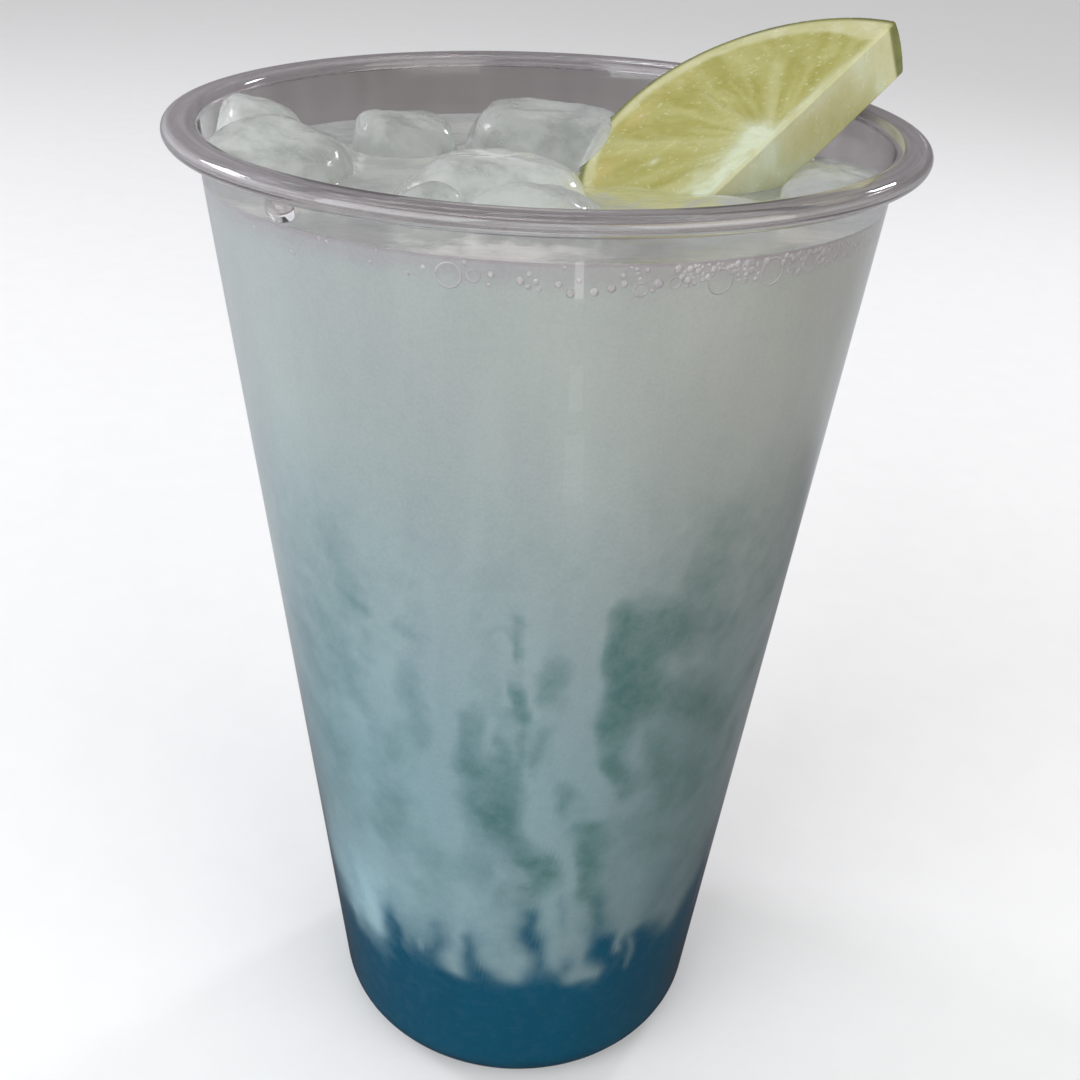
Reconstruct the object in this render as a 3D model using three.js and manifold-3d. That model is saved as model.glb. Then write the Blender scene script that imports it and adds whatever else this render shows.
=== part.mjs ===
// Iced two-layer drink in a clear plastic cup, with a half slice of lime.
// Millimetres, +Z up, -Y is the front. The origin is the middle of the cup's foot.

import * as THREE from 'three';
import { mergeVertices } from 'three/addons/utils/BufferGeometryUtils.js';
import Module from 'manifold-3d';

// Cup: a straight tapered wall on a rounded heel, with a rolled lip
const CUP_HEIGHT = 150;
const LIP_RADIUS = 49;
const LIP_CURL_RADIUS = 1.2;
const LIP_CURL_SWEEP = 190;
const LIP_ROOT_FILLET = 1.0;
const LIP_INNER_ROUND = 1.3;
const WALL_THICKNESS = 0.8;
const WALL_TOP_RADIUS = 45;
const WALL_TOP_HEIGHT = 147.6;
const WALL_LOW_RADIUS = 30.5;
const WALL_LOW_HEIGHT = 8;
const HEEL_RADIUS = 7;
const FOOT_INNER_RADIUS = 20;
const RECESS_RADIUS = 17;
const RECESS_DEPTH = 2;

// Room left between pieces that touch, and under the steep boundary of the layers
const GAP = 0.3;
const BOUNDARY_GAP = 0.7;

// Drink: a blue layer below, a cloudy one above, and a surface that falls a little towards the
// back, as in a cup that stands not quite level, and climbs the wall at the front
const DRINK_LEVEL = 142;
const SURFACE_FALL = 0.0214;
const MENISCUS = { front: 0.95, back: 0, reach: 1.8 };
const SURFACE_RINGS = [1, 0.97, 0.93, 0.78, 0.5, 0.22];
const SURFACE_SWELLS = [
  { x: 5, y: 1, height: -1.2, reach: 6 },
  { x: 22, y: -17, height: 2, reach: 7 },
];

// Layer boundary: a high crest, from which cloudy fingers hang into the blue layer
const CREST_HEIGHT = 36;
const CORE_HEIGHT = 29;
const FINGER_RINGS = [1, 0.86, 0.66, 0.42, 0.2];
const FRONT_FINGERS = [
  { bearing: -72, tip: 30, spread: 8 },
  { bearing: -49, tip: 24, spread: 8 },
  { bearing: -28, tip: 28, spread: 7 },
  { bearing: -14, tip: 24.8, spread: 6 },
  { bearing: 2, tip: 24.8, spread: 6 },
  { bearing: 22, tip: 26.6, spread: 6 },
  { bearing: 37, tip: 26.2, spread: 6 },
  { bearing: 60, tip: 27.7, spread: 9 },
];
const BACK_FINGERS = { from: 79, to: 275, pitch: 17, stray: 4, tip: 24, tipStray: 6, spread: 7 };

// Lime: half of a round slice, one end raised over the rim and the other in the drink
const LIME = {
  radius: 26.35,
  thickness: 8.2,
  bulge: 0.5,
  centre: [28.68, -3.57, 148.8],
  heading: 41.1,
  rise: 29.5,
  roll: 1.3,
  arcSteps: 28,
  skinSteps: 4,
};

// Ice: rounded lumps, each with its middle, half sizes, turn and squareness
const ICE = [
  {
    name: 'ice_left_tall',
    centre: [-39.4, 5, 142.4],
    half: [7.4, 7.2, 6.8],
    lean: [-4, 38, 12],
    power: 2.3,
    seed: 3,
  },
  {
    name: 'ice_left_front',
    centre: [-34.6, -8.5, 141.7],
    half: [8, 14, 6.8],
    lean: [3, 24, -22],
    power: 2.1,
    seed: 11,
  },
  {
    name: 'ice_back_left',
    centre: [-20.2, 12.5, 141.8],
    half: [6.9, 7, 5.2],
    lean: [0, 4, 20],
    power: 2.5,
    seed: 17,
  },
  {
    name: 'ice_back_centre',
    centre: [0.2, 13.5, 141.4],
    half: [11.2, 9, 7.3],
    lean: [3, -2, -8],
    power: 2.7,
    seed: 23,
  },
  {
    name: 'ice_front_centre',
    centre: [-6.4, -14.8, 141.6],
    half: [11.9, 7.8, 6.2],
    lean: [4, 1, 4],
    power: 2.8,
    seed: 31,
  },
  {
    name: 'ice_front_low',
    centre: [-1.6, -26.4, 142.9],
    half: [8.2, 5.4, 4.7],
    lean: [0, 0, 4],
    power: 2.3,
    seed: 41,
  },
  {
    name: 'ice_front_left',
    centre: [-12.9, -26.2, 143],
    half: [4.6, 4, 4],
    lean: [0, 3, 12],
    power: 2.3,
    seed: 47,
  },
  {
    name: 'ice_right',
    centre: [37.8, -6, 140.1],
    half: [7.2, 13.8, 5.8],
    lean: [2, 2, -20],
    power: 2.7,
    seed: 53,
  },
];
const ICE_UNEVEN = 0.05;
const ICE_SIDES = 16;
const ICE_RINGS = 11;
const ICE_CLEARANCE = 0.45;

const ROUND_SIDES = 64;

const COLOURS = {
  cup: { color: '#d5d2d0', roughness: 0.08, metalness: 0 },
  cloudy: { color: '#b4bcba', roughness: 0.35, metalness: 0 },
  blue: { color: '#16638c', roughness: 0.3, metalness: 0 },
  lime: { color: '#b7ba6a', roughness: 0.45, metalness: 0 },
  ice: { color: '#c9cfcc', roughness: 0.12, metalness: 0 },
};

const wasm = await Module();
wasm.setup();

const radians = THREE.MathUtils.degToRad;
const wallSlope = (WALL_TOP_RADIUS - WALL_LOW_RADIUS) / (WALL_TOP_HEIGHT - WALL_LOW_HEIGHT);
const wallAngle = Math.atan(wallSlope);

// A repeatable draw between 0 and 1
function draw(seed) {
  const value = Math.sin(seed * 127.1 + 311.7) * 43758.5453;
  return value - Math.floor(value);
}

// Radius of the wall at a height, moved inwards from its outer face
function wallRadius(height, inset) {
  const outer = WALL_LOW_RADIUS + wallSlope * (height - WALL_LOW_HEIGHT);
  return outer - inset / Math.cos(wallAngle);
}

// Radius about which the heel bends, so that it runs smoothly into the wall
const heelCentre = wallRadius(HEEL_RADIUS, HEEL_RADIUS);

function arc(centreRadius, centreHeight, radius, fromDegrees, toDegrees, steps) {
  const points = [];
  for (let step = 0; step <= steps; step += 1) {
    const angle = radians(THREE.MathUtils.lerp(fromDegrees, toDegrees, step / steps));
    points.push([
      centreRadius + radius * Math.cos(angle),
      centreHeight + radius * Math.sin(angle),
    ]);
  }
  return points;
}

// Half section of the cup's floor and heel from the axis outwards, moved inwards by inset
function floorLine(inset) {
  const rampShift = inset * 0.303;
  return [
    [0, RECESS_DEPTH + inset],
    [RECESS_RADIUS + rampShift, RECESS_DEPTH + inset],
    [FOOT_INNER_RADIUS + rampShift, inset],
    ...arc(heelCentre, HEEL_RADIUS, HEEL_RADIUS - inset, -90, -THREE.MathUtils.radToDeg(wallAngle), 4),
  ];
}

// Closed, outward-facing geometry holding only positions
function closed(geometry) {
  geometry.deleteAttribute('normal');
  geometry.deleteAttribute('uv');
  const merged = mergeVertices(geometry, 1e-4);
  const place = merged.attributes.position;
  const corners = Array.from(merged.index.array);
  const kept = [];
  let volume = 0;
  for (let start = 0; start < corners.length; start += 3) {
    const [a, b, c] = corners.slice(start, start + 3);
    if (a !== b && b !== c && c !== a) {
      kept.push(a, b, c);
      const [pa, pb, pc] = [a, b, c].map((i) => new THREE.Vector3().fromBufferAttribute(place, i));
      volume += pa.dot(pb.cross(pc));
    }
  }
  if (volume < 0) {
    kept.reverse();
  }
  merged.setIndex(kept);
  return merged;
}

function toSolid(geometry) {
  return new wasm.Manifold(
    new wasm.Mesh({
      numProp: 3,
      vertProperties: new Float32Array(geometry.attributes.position.array),
      triVerts: new Uint32Array(geometry.index.array),
    }),
  );
}

// Geometry of a solid's largest piece, without the scraps that a cut can leave
function toGeometry(solid) {
  const largest = solid.decompose().sort((a, b) => b.volume() - a.volume())[0];
  const mesh = largest.getMesh();
  const geometry = new THREE.BufferGeometry();
  geometry.setAttribute('position', new THREE.BufferAttribute(mesh.vertProperties, mesh.numProp));
  geometry.setIndex(new THREE.BufferAttribute(mesh.triVerts, 1));
  return geometry;
}

// Solid of revolution whose half section may change with the bearing.
// A bearing of 0 is the front, and it grows towards +X.
function spun(sectionAt) {
  const flat = sectionAt(0).map(([radius, height]) => new THREE.Vector2(radius, height));
  const geometry = new THREE.LatheGeometry(flat, ROUND_SIDES);
  const place = geometry.attributes.position;
  for (let side = 0; side <= ROUND_SIDES; side += 1) {
    const bearing = ((side % ROUND_SIDES) / ROUND_SIDES) * 360;
    sectionAt(bearing).forEach(([radius, height], step) => {
      const x = radius * Math.sin(radians(bearing));
      const y = -radius * Math.cos(radians(bearing));
      place.setXYZ(side * flat.length + step, x, y, height);
    });
  }
  return closed(geometry);
}

// Cup
function cupSection() {
  const curlRadius = LIP_RADIUS - LIP_CURL_RADIUS;
  const curlHeight = CUP_HEIGHT - LIP_CURL_RADIUS;
  const curlEnd = 90 - LIP_CURL_SWEEP;
  const underside = CUP_HEIGHT - WALL_THICKNESS;
  const filletHeight = underside - LIP_ROOT_FILLET;
  const filletRadius = wallRadius(filletHeight, 0) + LIP_ROOT_FILLET;
  const innerTop = wallRadius(CUP_HEIGHT, WALL_THICKNESS);
  return [
    ...floorLine(0),
    ...arc(filletRadius, filletHeight, LIP_ROOT_FILLET, 180, 90, 2),
    ...arc(curlRadius, curlHeight, LIP_CURL_RADIUS - WALL_THICKNESS, 90, curlEnd, 3),
    ...arc(curlRadius, curlHeight, LIP_CURL_RADIUS, curlEnd, 90, 6),
    ...arc(innerTop + LIP_INNER_ROUND, CUP_HEIGHT - LIP_INNER_ROUND, LIP_INNER_ROUND, 90, 180, 2),
    ...floorLine(WALL_THICKNESS).reverse(),
  ];
}

function angleBetween(a, b) {
  return Math.abs(((((a - b) % 360) + 540) % 360) - 180);
}

// The fingers seen at the front, and others of their kind round the back
function allFingers() {
  const fingers = [...FRONT_FINGERS];
  const { from, to, pitch, stray, tip, tipStray, spread } = BACK_FINGERS;
  for (let bearing = from; bearing < to; bearing += pitch) {
    fingers.push({
      bearing: bearing + stray * (2 * draw(bearing) - 1),
      tip: tip + tipStray * draw(bearing + 1),
      spread,
    });
  }
  return fingers;
}

const fingers = allFingers();

// Height of the layers' boundary on the wall: the lowest of the fingers that reach a bearing
function boundaryAtWall(bearing) {
  return fingers.reduce((lowest, { bearing: middle, tip, spread }) => {
    const share = Math.exp(-((angleBetween(bearing, middle) / spread) ** 2));
    return Math.min(lowest, CREST_HEIGHT - (CREST_HEIGHT - tip) * share);
  }, CREST_HEIGHT);
}

// Boundary between the layers, flattening towards the middle of the cup
function boundaryLine(bearing, lift) {
  const atWall = boundaryAtWall(bearing);
  const edge = wallRadius(atWall, WALL_THICKNESS + GAP);
  const line = FINGER_RINGS.map((share) => [
    share * edge,
    THREE.MathUtils.lerp(CORE_HEIGHT, atWall, share ** 2) + lift,
  ]);
  return [...line, [0, CORE_HEIGHT + lift]];
}

// How far the drink climbs the wall, most at the front where froth clings to it
function meniscusRise(bearing) {
  const { front, back } = MENISCUS;
  return THREE.MathUtils.lerp(back, front, (1 + Math.cos(radians(bearing))) / 2);
}

// Surface of the drink: its meniscus, the dip where the lime enters and the froth by its cut
function surfaceHeight(bearing, radius) {
  const x = radius * Math.sin(radians(bearing));
  const y = -radius * Math.cos(radians(bearing));
  const fromWall = wallRadius(DRINK_LEVEL, WALL_THICKNESS + GAP) - radius;
  const rise = meniscusRise(bearing) * Math.exp(-Math.max(fromWall, 0) / MENISCUS.reach);
  return SURFACE_SWELLS.reduce((height, swell) => {
    const away = Math.hypot(x - swell.x, y - swell.y) / swell.reach;
    return height + swell.height * Math.exp(-(away ** 2));
  }, DRINK_LEVEL - SURFACE_FALL * y + rise);
}

function surfaceLine(bearing) {
  const level = wallRadius(DRINK_LEVEL, WALL_THICKNESS + GAP);
  const edge = wallRadius(surfaceHeight(bearing, level), WALL_THICKNESS + GAP);
  const line = SURFACE_RINGS.map((share) => [
    share * edge,
    surfaceHeight(bearing, share * edge),
  ]);
  return [...line, [0, surfaceHeight(0, 0)]];
}

function blueSection(bearing) {
  return [...floorLine(WALL_THICKNESS + GAP), ...boundaryLine(bearing, 0)];
}

function wholeDrinkSection(bearing) {
  return [...floorLine(WALL_THICKNESS + GAP), ...surfaceLine(bearing)];
}

// What the cloudy layer leaves to the blue one, past the wall and under the foot
function belowCloudySection(bearing) {
  const line = boundaryLine(bearing, BOUNDARY_GAP);
  const beyond = line[0][0] + LIP_RADIUS;
  return [[0, -GAP], [beyond, -GAP], [beyond, line[0][1]], ...line];
}

// Inside of the cup, up past the rim, that ice has to stay within
function roomSection() {
  const inset = WALL_THICKNESS + GAP;
  const top = CUP_HEIGHT + LIME.radius;
  return [...floorLine(inset), [wallRadius(top, inset), top], [0, top]];
}

// Lime: half a disc, its skin bulging a little between the two cut faces
function limeGeometry(clearance) {
  const radius = LIME.radius + clearance;
  const depth = LIME.thickness + 2 * clearance;
  const outline = new THREE.Shape();
  outline.moveTo(radius, -clearance);
  outline.absarc(0, 0, radius, 0, Math.PI, false);
  outline.lineTo(-radius, -clearance);
  outline.closePath();
  const geometry = new THREE.ExtrudeGeometry(outline, {
    depth,
    steps: LIME.skinSteps,
    curveSegments: LIME.arcSteps,
    bevelEnabled: false,
  });
  geometry.translate(0, 0, clearance - depth);
  const place = geometry.attributes.position;
  for (let index = 0; index < place.count; index += 1) {
    const across = (2 * (clearance - place.getZ(index))) / depth - 1;
    const grow = 1 + (LIME.bulge * (1 - across ** 2)) / radius;
    place.setX(index, place.getX(index) * grow);
    if (place.getY(index) > 0) {
      place.setY(index, place.getY(index) * grow);
    }
  }
  geometry.applyMatrix4(limePlace());
  return closed(geometry);
}

function limePlace() {
  const turn = new THREE.Euler(radians(LIME.roll), -radians(LIME.rise), radians(LIME.heading), 'ZYX');
  return new THREE.Matrix4()
    .makeRotationFromEuler(turn)
    .setPosition(new THREE.Vector3(...LIME.centre));
}

// Ice: a sphere pushed out towards a rounded block and made uneven by slow waves
function iceGeometry({ centre, half, lean, power, seed }, clearance) {
  const geometry = new THREE.SphereGeometry(1, ICE_SIDES, ICE_RINGS);
  const place = geometry.attributes.position;
  const way = new THREE.Vector3();
  for (let index = 0; index < place.count; index += 1) {
    way.fromBufferAttribute(place, index).normalize();
    const [x, y, z] = way.toArray();
    const waves =
      Math.sin(3.1 * x + 1.7 * y + seed) +
      Math.sin(2.3 * y - 2.9 * z + 2 * seed) +
      Math.sin(4.3 * z + 3.7 * x + 3 * seed);
    const block = (Math.abs(x) ** power + Math.abs(y) ** power + Math.abs(z) ** power) ** (-1 / power);
    const reach = block * (1 + ICE_UNEVEN * waves);
    place.setXYZ(
      index,
      x * (half[0] * reach + clearance),
      y * (half[1] * reach + clearance),
      z * (half[2] * reach + clearance),
    );
  }
  const turn = new THREE.Euler(...lean.map(radians), 'ZYX');
  geometry.applyMatrix4(
    new THREE.Matrix4().makeRotationFromEuler(turn).setPosition(new THREE.Vector3(...centre)),
  );
  return closed(geometry);
}

// Ice pieces, each kept inside the cup and clear of the lime and of the pieces before it
function icePieces() {
  const room = toSolid(spun(roomSection));
  const taken = [toSolid(limeGeometry(GAP))];
  return ICE.map((piece) => {
    let solid = toSolid(iceGeometry(piece, 0)).intersect(room);
    for (const other of taken) {
      solid = solid.subtract(other);
    }
    taken.push(toSolid(iceGeometry(piece, ICE_CLEARANCE)));
    return { name: piece.name, geometry: toGeometry(solid) };
  });
}

function cloudyGeometry() {
  let solid = toSolid(spun(wholeDrinkSection))
    .subtract(toSolid(spun(belowCloudySection)))
    .subtract(toSolid(limeGeometry(GAP)));
  for (const piece of ICE) {
    solid = solid.subtract(toSolid(iceGeometry(piece, ICE_CLEARANCE)));
  }
  return toGeometry(solid);
}

const group = new THREE.Group();

function add(name, geometry, look) {
  const mesh = new THREE.Mesh(geometry, new THREE.MeshStandardMaterial(look));
  mesh.name = name;
  group.add(mesh);
}

add('cup', spun(cupSection), COLOURS.cup);
add('blue_syrup', spun(blueSection), COLOURS.blue);
add('cloudy_drink', cloudyGeometry(), COLOURS.cloudy);
add('lime_slice', limeGeometry(0), COLOURS.lime);
for (const { name, geometry } of icePieces()) {
  add(name, geometry, COLOURS.ice);
}

export default group;
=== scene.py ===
"""Iced two-layer drink in a clear plastic cup, with lumps of ice and a half slice of lime.

Metres, +Z up, -Y is the front. A bearing of 0 is the front, and it grows towards +X.
"""

import math
import random

import bmesh
import bpy
import numpy as np
from bpy.props import FloatProperty, FloatVectorProperty, PointerProperty
from mathutils import Euler, Matrix, Vector, noise
from mathutils.bvhtree import BVHTree


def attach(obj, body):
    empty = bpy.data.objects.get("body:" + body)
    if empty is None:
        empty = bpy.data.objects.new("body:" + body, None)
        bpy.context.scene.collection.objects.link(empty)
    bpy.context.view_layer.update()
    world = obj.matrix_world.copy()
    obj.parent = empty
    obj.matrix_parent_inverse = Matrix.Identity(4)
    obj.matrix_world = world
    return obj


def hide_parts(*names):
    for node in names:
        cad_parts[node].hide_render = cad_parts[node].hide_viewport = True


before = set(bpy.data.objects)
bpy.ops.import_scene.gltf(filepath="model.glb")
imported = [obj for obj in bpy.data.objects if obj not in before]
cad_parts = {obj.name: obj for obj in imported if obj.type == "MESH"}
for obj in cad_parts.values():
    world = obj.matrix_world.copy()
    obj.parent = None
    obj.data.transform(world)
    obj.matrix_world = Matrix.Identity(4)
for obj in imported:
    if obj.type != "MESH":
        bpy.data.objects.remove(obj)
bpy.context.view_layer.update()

bl_info = {
    "name": "Iced Layered Drink",
    "version": (1, 0, 0),
    "blender": (4, 5, 0),
    "location": "View3D > Sidebar > Iced Drink",
    "description": "Builds a cloudy and blue iced drink in a clear cup, with ice and lime",
    "category": "Add Mesh",
}

MM = 0.001
BODY = "root"
MERGE_WITHIN = 1e-7

# Cup
WALL_TOP_RADIUS = 45 * MM
WALL_TOP_HEIGHT = 147.6 * MM
WALL_LOW_RADIUS = 30.5 * MM
WALL_LOW_HEIGHT = 8 * MM
WALL_SLOPE = (WALL_TOP_RADIUS - WALL_LOW_RADIUS) / (WALL_TOP_HEIGHT - WALL_LOW_HEIGHT)
WALL_ANGLE = math.atan(WALL_SLOPE)
LIP_CURL_RADIUS = 1.2 * MM
LIP_CURL_SWEEP = 190
LIP_ROOT_FILLET = 1.0 * MM
LIP_INNER_ROUND = 1.3 * MM
HEEL_RADIUS = 7 * MM
FOOT_INNER_RADIUS = 20 * MM
RECESS_RADIUS = 17 * MM
RECESS_DEPTH = 2 * MM
RAMP_SHIFT = 0.303
CUP_SIDES = 240
CUP_WALL = 0.8 * MM
# Paler colour between the flow marks, least and most roughness, clearness and depth of the marks
WALL_FINISH = ((0.92, 0.92, 0.93), (0.015, 0.05), 1.0, 0.006 * MM)
# On the lip the marks are partly painted refraction: bright and dark bands of light bent in the rolled
# plastic
LIP_FINISH = ((0.84, 0.83, 0.85), (0.04, 0.09), 0.9, 0.02 * MM)
# What is left of light that casts shadows through the cup, the ice and the droplet
PLASTIC_SHADOW, ICE_SHADOW = (0.94, 0.94, 0.95), (0.93, 0.94, 0.94)
WATER_COLOUR = (0.97, 0.97, 0.98)

# The drink and the ice reach this far into what holds them, so that no air gap shows
REACH_IN = 0.15 * MM

# Drink
SURFACE_FALL = 0.0214
MENISCUS_FRONT = 0.95 * MM
MENISCUS_BACK = 0.0
MENISCUS_REACH = 1.8 * MM
SURFACE_RIPPLE = 0.12 * MM
RIPPLE_SIZE = 3.4 * MM
ICE_CLIMB = 0.55 * MM
ICE_CLIMB_REACH = 0.7 * MM
SURFACE_SWELLS = ((5, 1, -1.2, 6), (22, -17, 2, 7))
CREST_HEIGHT = 36 * MM
CORE_HEIGHT = 29 * MM
# Fingers at the front: bearing, height of the tip in mm and spread in degrees
FRONT_FINGERS = (
    (-72, 30, 8), (-49, 24, 8), (-28, 28, 7), (-14, 24.8, 6), (2, 24.8, 6), (22, 26.6, 6),
    (37, 26.2, 6), (60, 27.7, 9),
)
# Fingers round the back: bearings, then the lowest tip, how far it varies, and the spread
BACK_FROM, BACK_TO, BACK_PITCH, BACK_STRAY = 79, 275, 17, 4
BACK_TIP, BACK_TIP_STRAY, BACK_SPREAD = 24, 6, 7
# Sizes of the noise that bends the strokes and frays them, and its seed
SLOW_SWIRL = 9 * MM
QUICK_SWIRL = 3.5 * MM
FINE_SWIRL = 3 * MM
SWIRL_SEED = 6
# How far the swirls bend the strokes, in degrees across and in mm up
WARP_ACROSS, WARP_UP = 2.4, 2.2
# Faces round the drink, up its side, just under its edge and up the blue side; rings across the
# boundary of the two layers, as shares of its radius, and across the surface
DRINK_SIDES = 360
DRINK_ROWS = 146
RIM_FROM, RIM_ROWS = 0.965, 16
BLUE_ROWS = 44
BOUNDARY_RINGS = (0.2, 0.42, 0.66, 0.86)
SURFACE_RING_COUNT = 90
# How deep the hollows round the ice count as surface, and from which angle an edge stays sharp
SURFACE_DEPTH = 12 * MM
DRINK_CREASE = math.radians(38)

# Under its edge the drink looks darker, in a band with a line at its top: depths, strengths and unevenness
RIM_BAND, RIM_LINE = 3.8 * MM, 0.5 * MM
RIM_BAND_SHARE, RIM_LINE_SHARE = 0.45, 0.4
RIM_FRAY = 0.3 * MM

# Large bubbles at the wall, by bearing, depth under the drink's edge and radius in mm
LARGE_BUBBLES = (
    (-13, 2.1, 1.4), (-9.4, 1.9, 0.7), (-7, 1.6, 0.4), (-3, 2.1, 0.5), (-0.8, 2.1, 0.35),
    (2.3, 2.3, 0.4), (4, 3.3, 0.5), (7.3, 3.1, 0.5), (9.7, 2.7, 0.5), (11.4, 2.2, 0.4),
    (13.8, 2.9, 0.75), (16.3, 2.3, 0.55), (18.8, 2.2, 0.65), (26, 2.5, 1.45), (35, 2.1, 1.6),
    (43, 1.9, 1.1),
)
# Crowds of small ones: bearings from and to, deepest place, largest radius and number of tries
BUBBLE_CROWDS = (
    (19, 68, 2.6, 0.5, 800), (68, 150, 2.2, 0.45, 240), (-176, -48, 2.8, 0.4, 80), (-48, 19, 3, 0.35, 26),
)
BUBBLE_SEED = 8
SMALLEST_BUBBLE = 0.2
# Room over the crowd in mm, how much it presses upwards, and how close two bubbles come
HIGHEST_BUBBLE, BUBBLE_RISE, BUBBLE_APART = 0.15, 1.5, 0.85
# Bubbles with a larger radius in mm show as rings. How thick the rings are, and how flat all bubbles
RING_FROM, RING_THICKNESS = 0.6, 0.14
BUBBLE_FLATNESS = 0.3

# Pale patches of the surface at the wall: bearing, half sizes and strength
PALE_PATCHES = ((-7, (11, 8, 30), 0.95), (-55, (5, 10, 30), 0.6), (50, (4, 8, 30), 0.45))
PALE_PATCH_AWAY = 41 * MM
PALE_PATCH_COLOUR = (0.62, 0.60, 0.56)
# Where the sunk end of the lime shines through, in the slice's own plane: middle, half sizes, strength
SUNK_LIME = ((-16, 9, 0), (9, 15, 30), 0.75)
SUNK_LIME_COLOUR = (0.46, 0.46, 0.17)
PATCH_FRAY = 0.9

# Droplet on the outside of the wall: bearing, height and half sizes in mm
DROPLET_BEARING, DROPLET_HEIGHT = -39.4, 145.9 * MM
DROPLET_HALF_SIZE = (2.1, 1.25, 1.55)
# How much wider its foot is, where its back is cut flat, and how far its middle lies from the wall
DROPLET_SAG, DROPLET_BACK, DROPLET_OUT = 0.12, 0.35, 0.37

# Strokes on the drink's side, each from one end to the other: bearing and height, twice, then half
# width in mm and strength. Clear blue-green places in the cloud:
CLEAR_STROKES = (
    (-11, 80, -12, 71, 1.6, 0.7), (-8, 80, -6, 76, 1.2, 0.5), (-9, 71, -7, 62, 3.2, 0.95),
    (-3, 69, -5, 61, 1.8, 0.75), (-6, 62, 4, 54, 2.0, 0.9), (2, 54, 6, 48, 2.2, 1.1),
    (6, 55, 7, 50, 1.6, 0.8), (-1.5, 85, 0, 81, 1.3, 1.1), (0.6, 81, 0, 70, 0.7, 0.6),
    (-4, 75, -3, 72, 1.4, 0.6), (5, 89, 4.5, 84, 1.6, 0.75), (-1.6, 97, -2.6, 92, 0.8, 0.6),
    (8.5, 66.5, 8.5, 65, 1.2, 0.7), (4.5, 78, 3.2, 70, 0.9, 0.5), (13.5, 61.5, 17, 60, 1.2, 0.6),
    (17, 60, 16.5, 46, 1.8, 1.0), (18.5, 56, 20.5, 40, 2.2, 0.9), (17, 96, 17.5, 80, 2.0, 1.15),
    (21, 95, 20, 82, 2.6, 1.0), (26, 97, 31, 92, 2.2, 0.75), (26, 90, 23, 82, 2.6, 0.9),
    (18.5, 80, 21, 70, 1.7, 1.0), (20, 71, 24, 66, 1.8, 0.6), (27, 76, 34, 68, 2.0, 0.5),
    (28, 83, 40, 77, 1.9, 0.65), (40, 78, 50, 71, 2.2, 0.5), (34, 94, 44, 90, 2.2, 0.4),
    (36, 108, 34, 100, 3.4, 0.4), (41, 66, 45, 60, 1.7, 0.5), (33, 66, 36, 60, 2.2, 0.4),
    (28, 57, 36, 51, 2.4, 0.3), (-62, 69, -48, 63, 3.4, 0.4), (-60, 57, -48, 54, 3.0, 0.15),
    (-60, 84, -52, 78, 3.0, 0.35), (-46, 86, -38, 78, 2.4, 0.3), (-38, 104, -36, 94, 2.4, 0.3),
    (-34, 93.5, -31, 93, 0.8, 0.5), (-24, 92, -20, 91.5, 1.2, 0.4), (-24, 84, -22, 74, 2.0, 0.3),
    (-35, 75, -30, 70, 2.4, 0.25), (-30, 60, -34, 52, 3.0, 0.3), (-22, 52, -22, 44, 2.4, 0.3),
    (-10, 52, -4, 46, 2.6, 0.45), (3, 47, 3, 38, 1.6, 0.5),
)
# Milkier streaks in it
MILKY_STROKES = (
    (-14.5, 100, -16.5, 84, 2.2, 0.35), (-16.5, 84, -16.5, 68, 2.4, 0.5),
    (-16.5, 68, -18, 56, 2.4, 0.45), (-5.4, 94, -3.2, 83, 0.7, 0.7), (2, 103, 1.4, 93, 0.8, 0.5),
    (1.5, 91, 2.8, 81, 0.7, 0.7), (-6.8, 80, -6.2, 74, 0.9, 0.8), (12, 102, 11.5, 86, 2.0, 0.5),
    (11.5, 86, 14.0, 70, 2.2, 0.85), (14.5, 70, 20, 63.5, 1.7, 0.8), (20, 63.5, 27, 61.5, 1.5, 0.35),
    (3, 70, 5, 62, 2.0, 0.45), (3, 62, 10, 57, 1.6, 0.6), (10, 57, 13.5, 47, 1.5, 0.9),
    (0, 53, 2, 49, 0.9, 0.6), (-4, 51, -6, 45, 1.1, 0.4), (25, 77, 26, 71, 1.4, 0.55),
    (23, 72, 22, 68, 0.8, 0.4), (30, 87, 28, 82, 1.3, 0.35), (36, 86, 42, 82, 1.0, 0.3),
    (-28, 86, -36, 76, 2.8, 0.3), (-40, 76, -36, 70, 2.4, 0.3), (31, 66, 27, 61, 1.4, 0.3),
    (-52, 47, -42, 42, 3.0, 0.5), (-38, 48, -32, 44, 2.4, 0.45), (-26, 48, -20, 43, 2.2, 0.3),
    (-12, 44, -10, 38, 2.0, 0.3),
)
# Blue that rises between the fingers
BLUE_STROKES = (
    (4.0, 41, 6.2, 31, 1.5, 0.7), (-12.5, 35, -11.0, 28, 1.3, 0.5), (-36.0, 36, -37.0, 27, 2.0, 0.5),
    (-20.5, 37, -20.5, 30, 1.0, 0.4), (21.5, 44, 23.5, 32, 1.6, 0.45), (25.0, 33, 26.0, 28, 1.0, 0.5),
    (11.5, 45, 11.8, 40, 0.9, 0.35), (14.5, 29.2, 13.5, 28.2, 0.7, 0.5), (38.0, 33, 39.0, 28, 2.4, 0.3),
    (58.0, 42, 57.0, 33, 3.4, 0.6),
)
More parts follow.
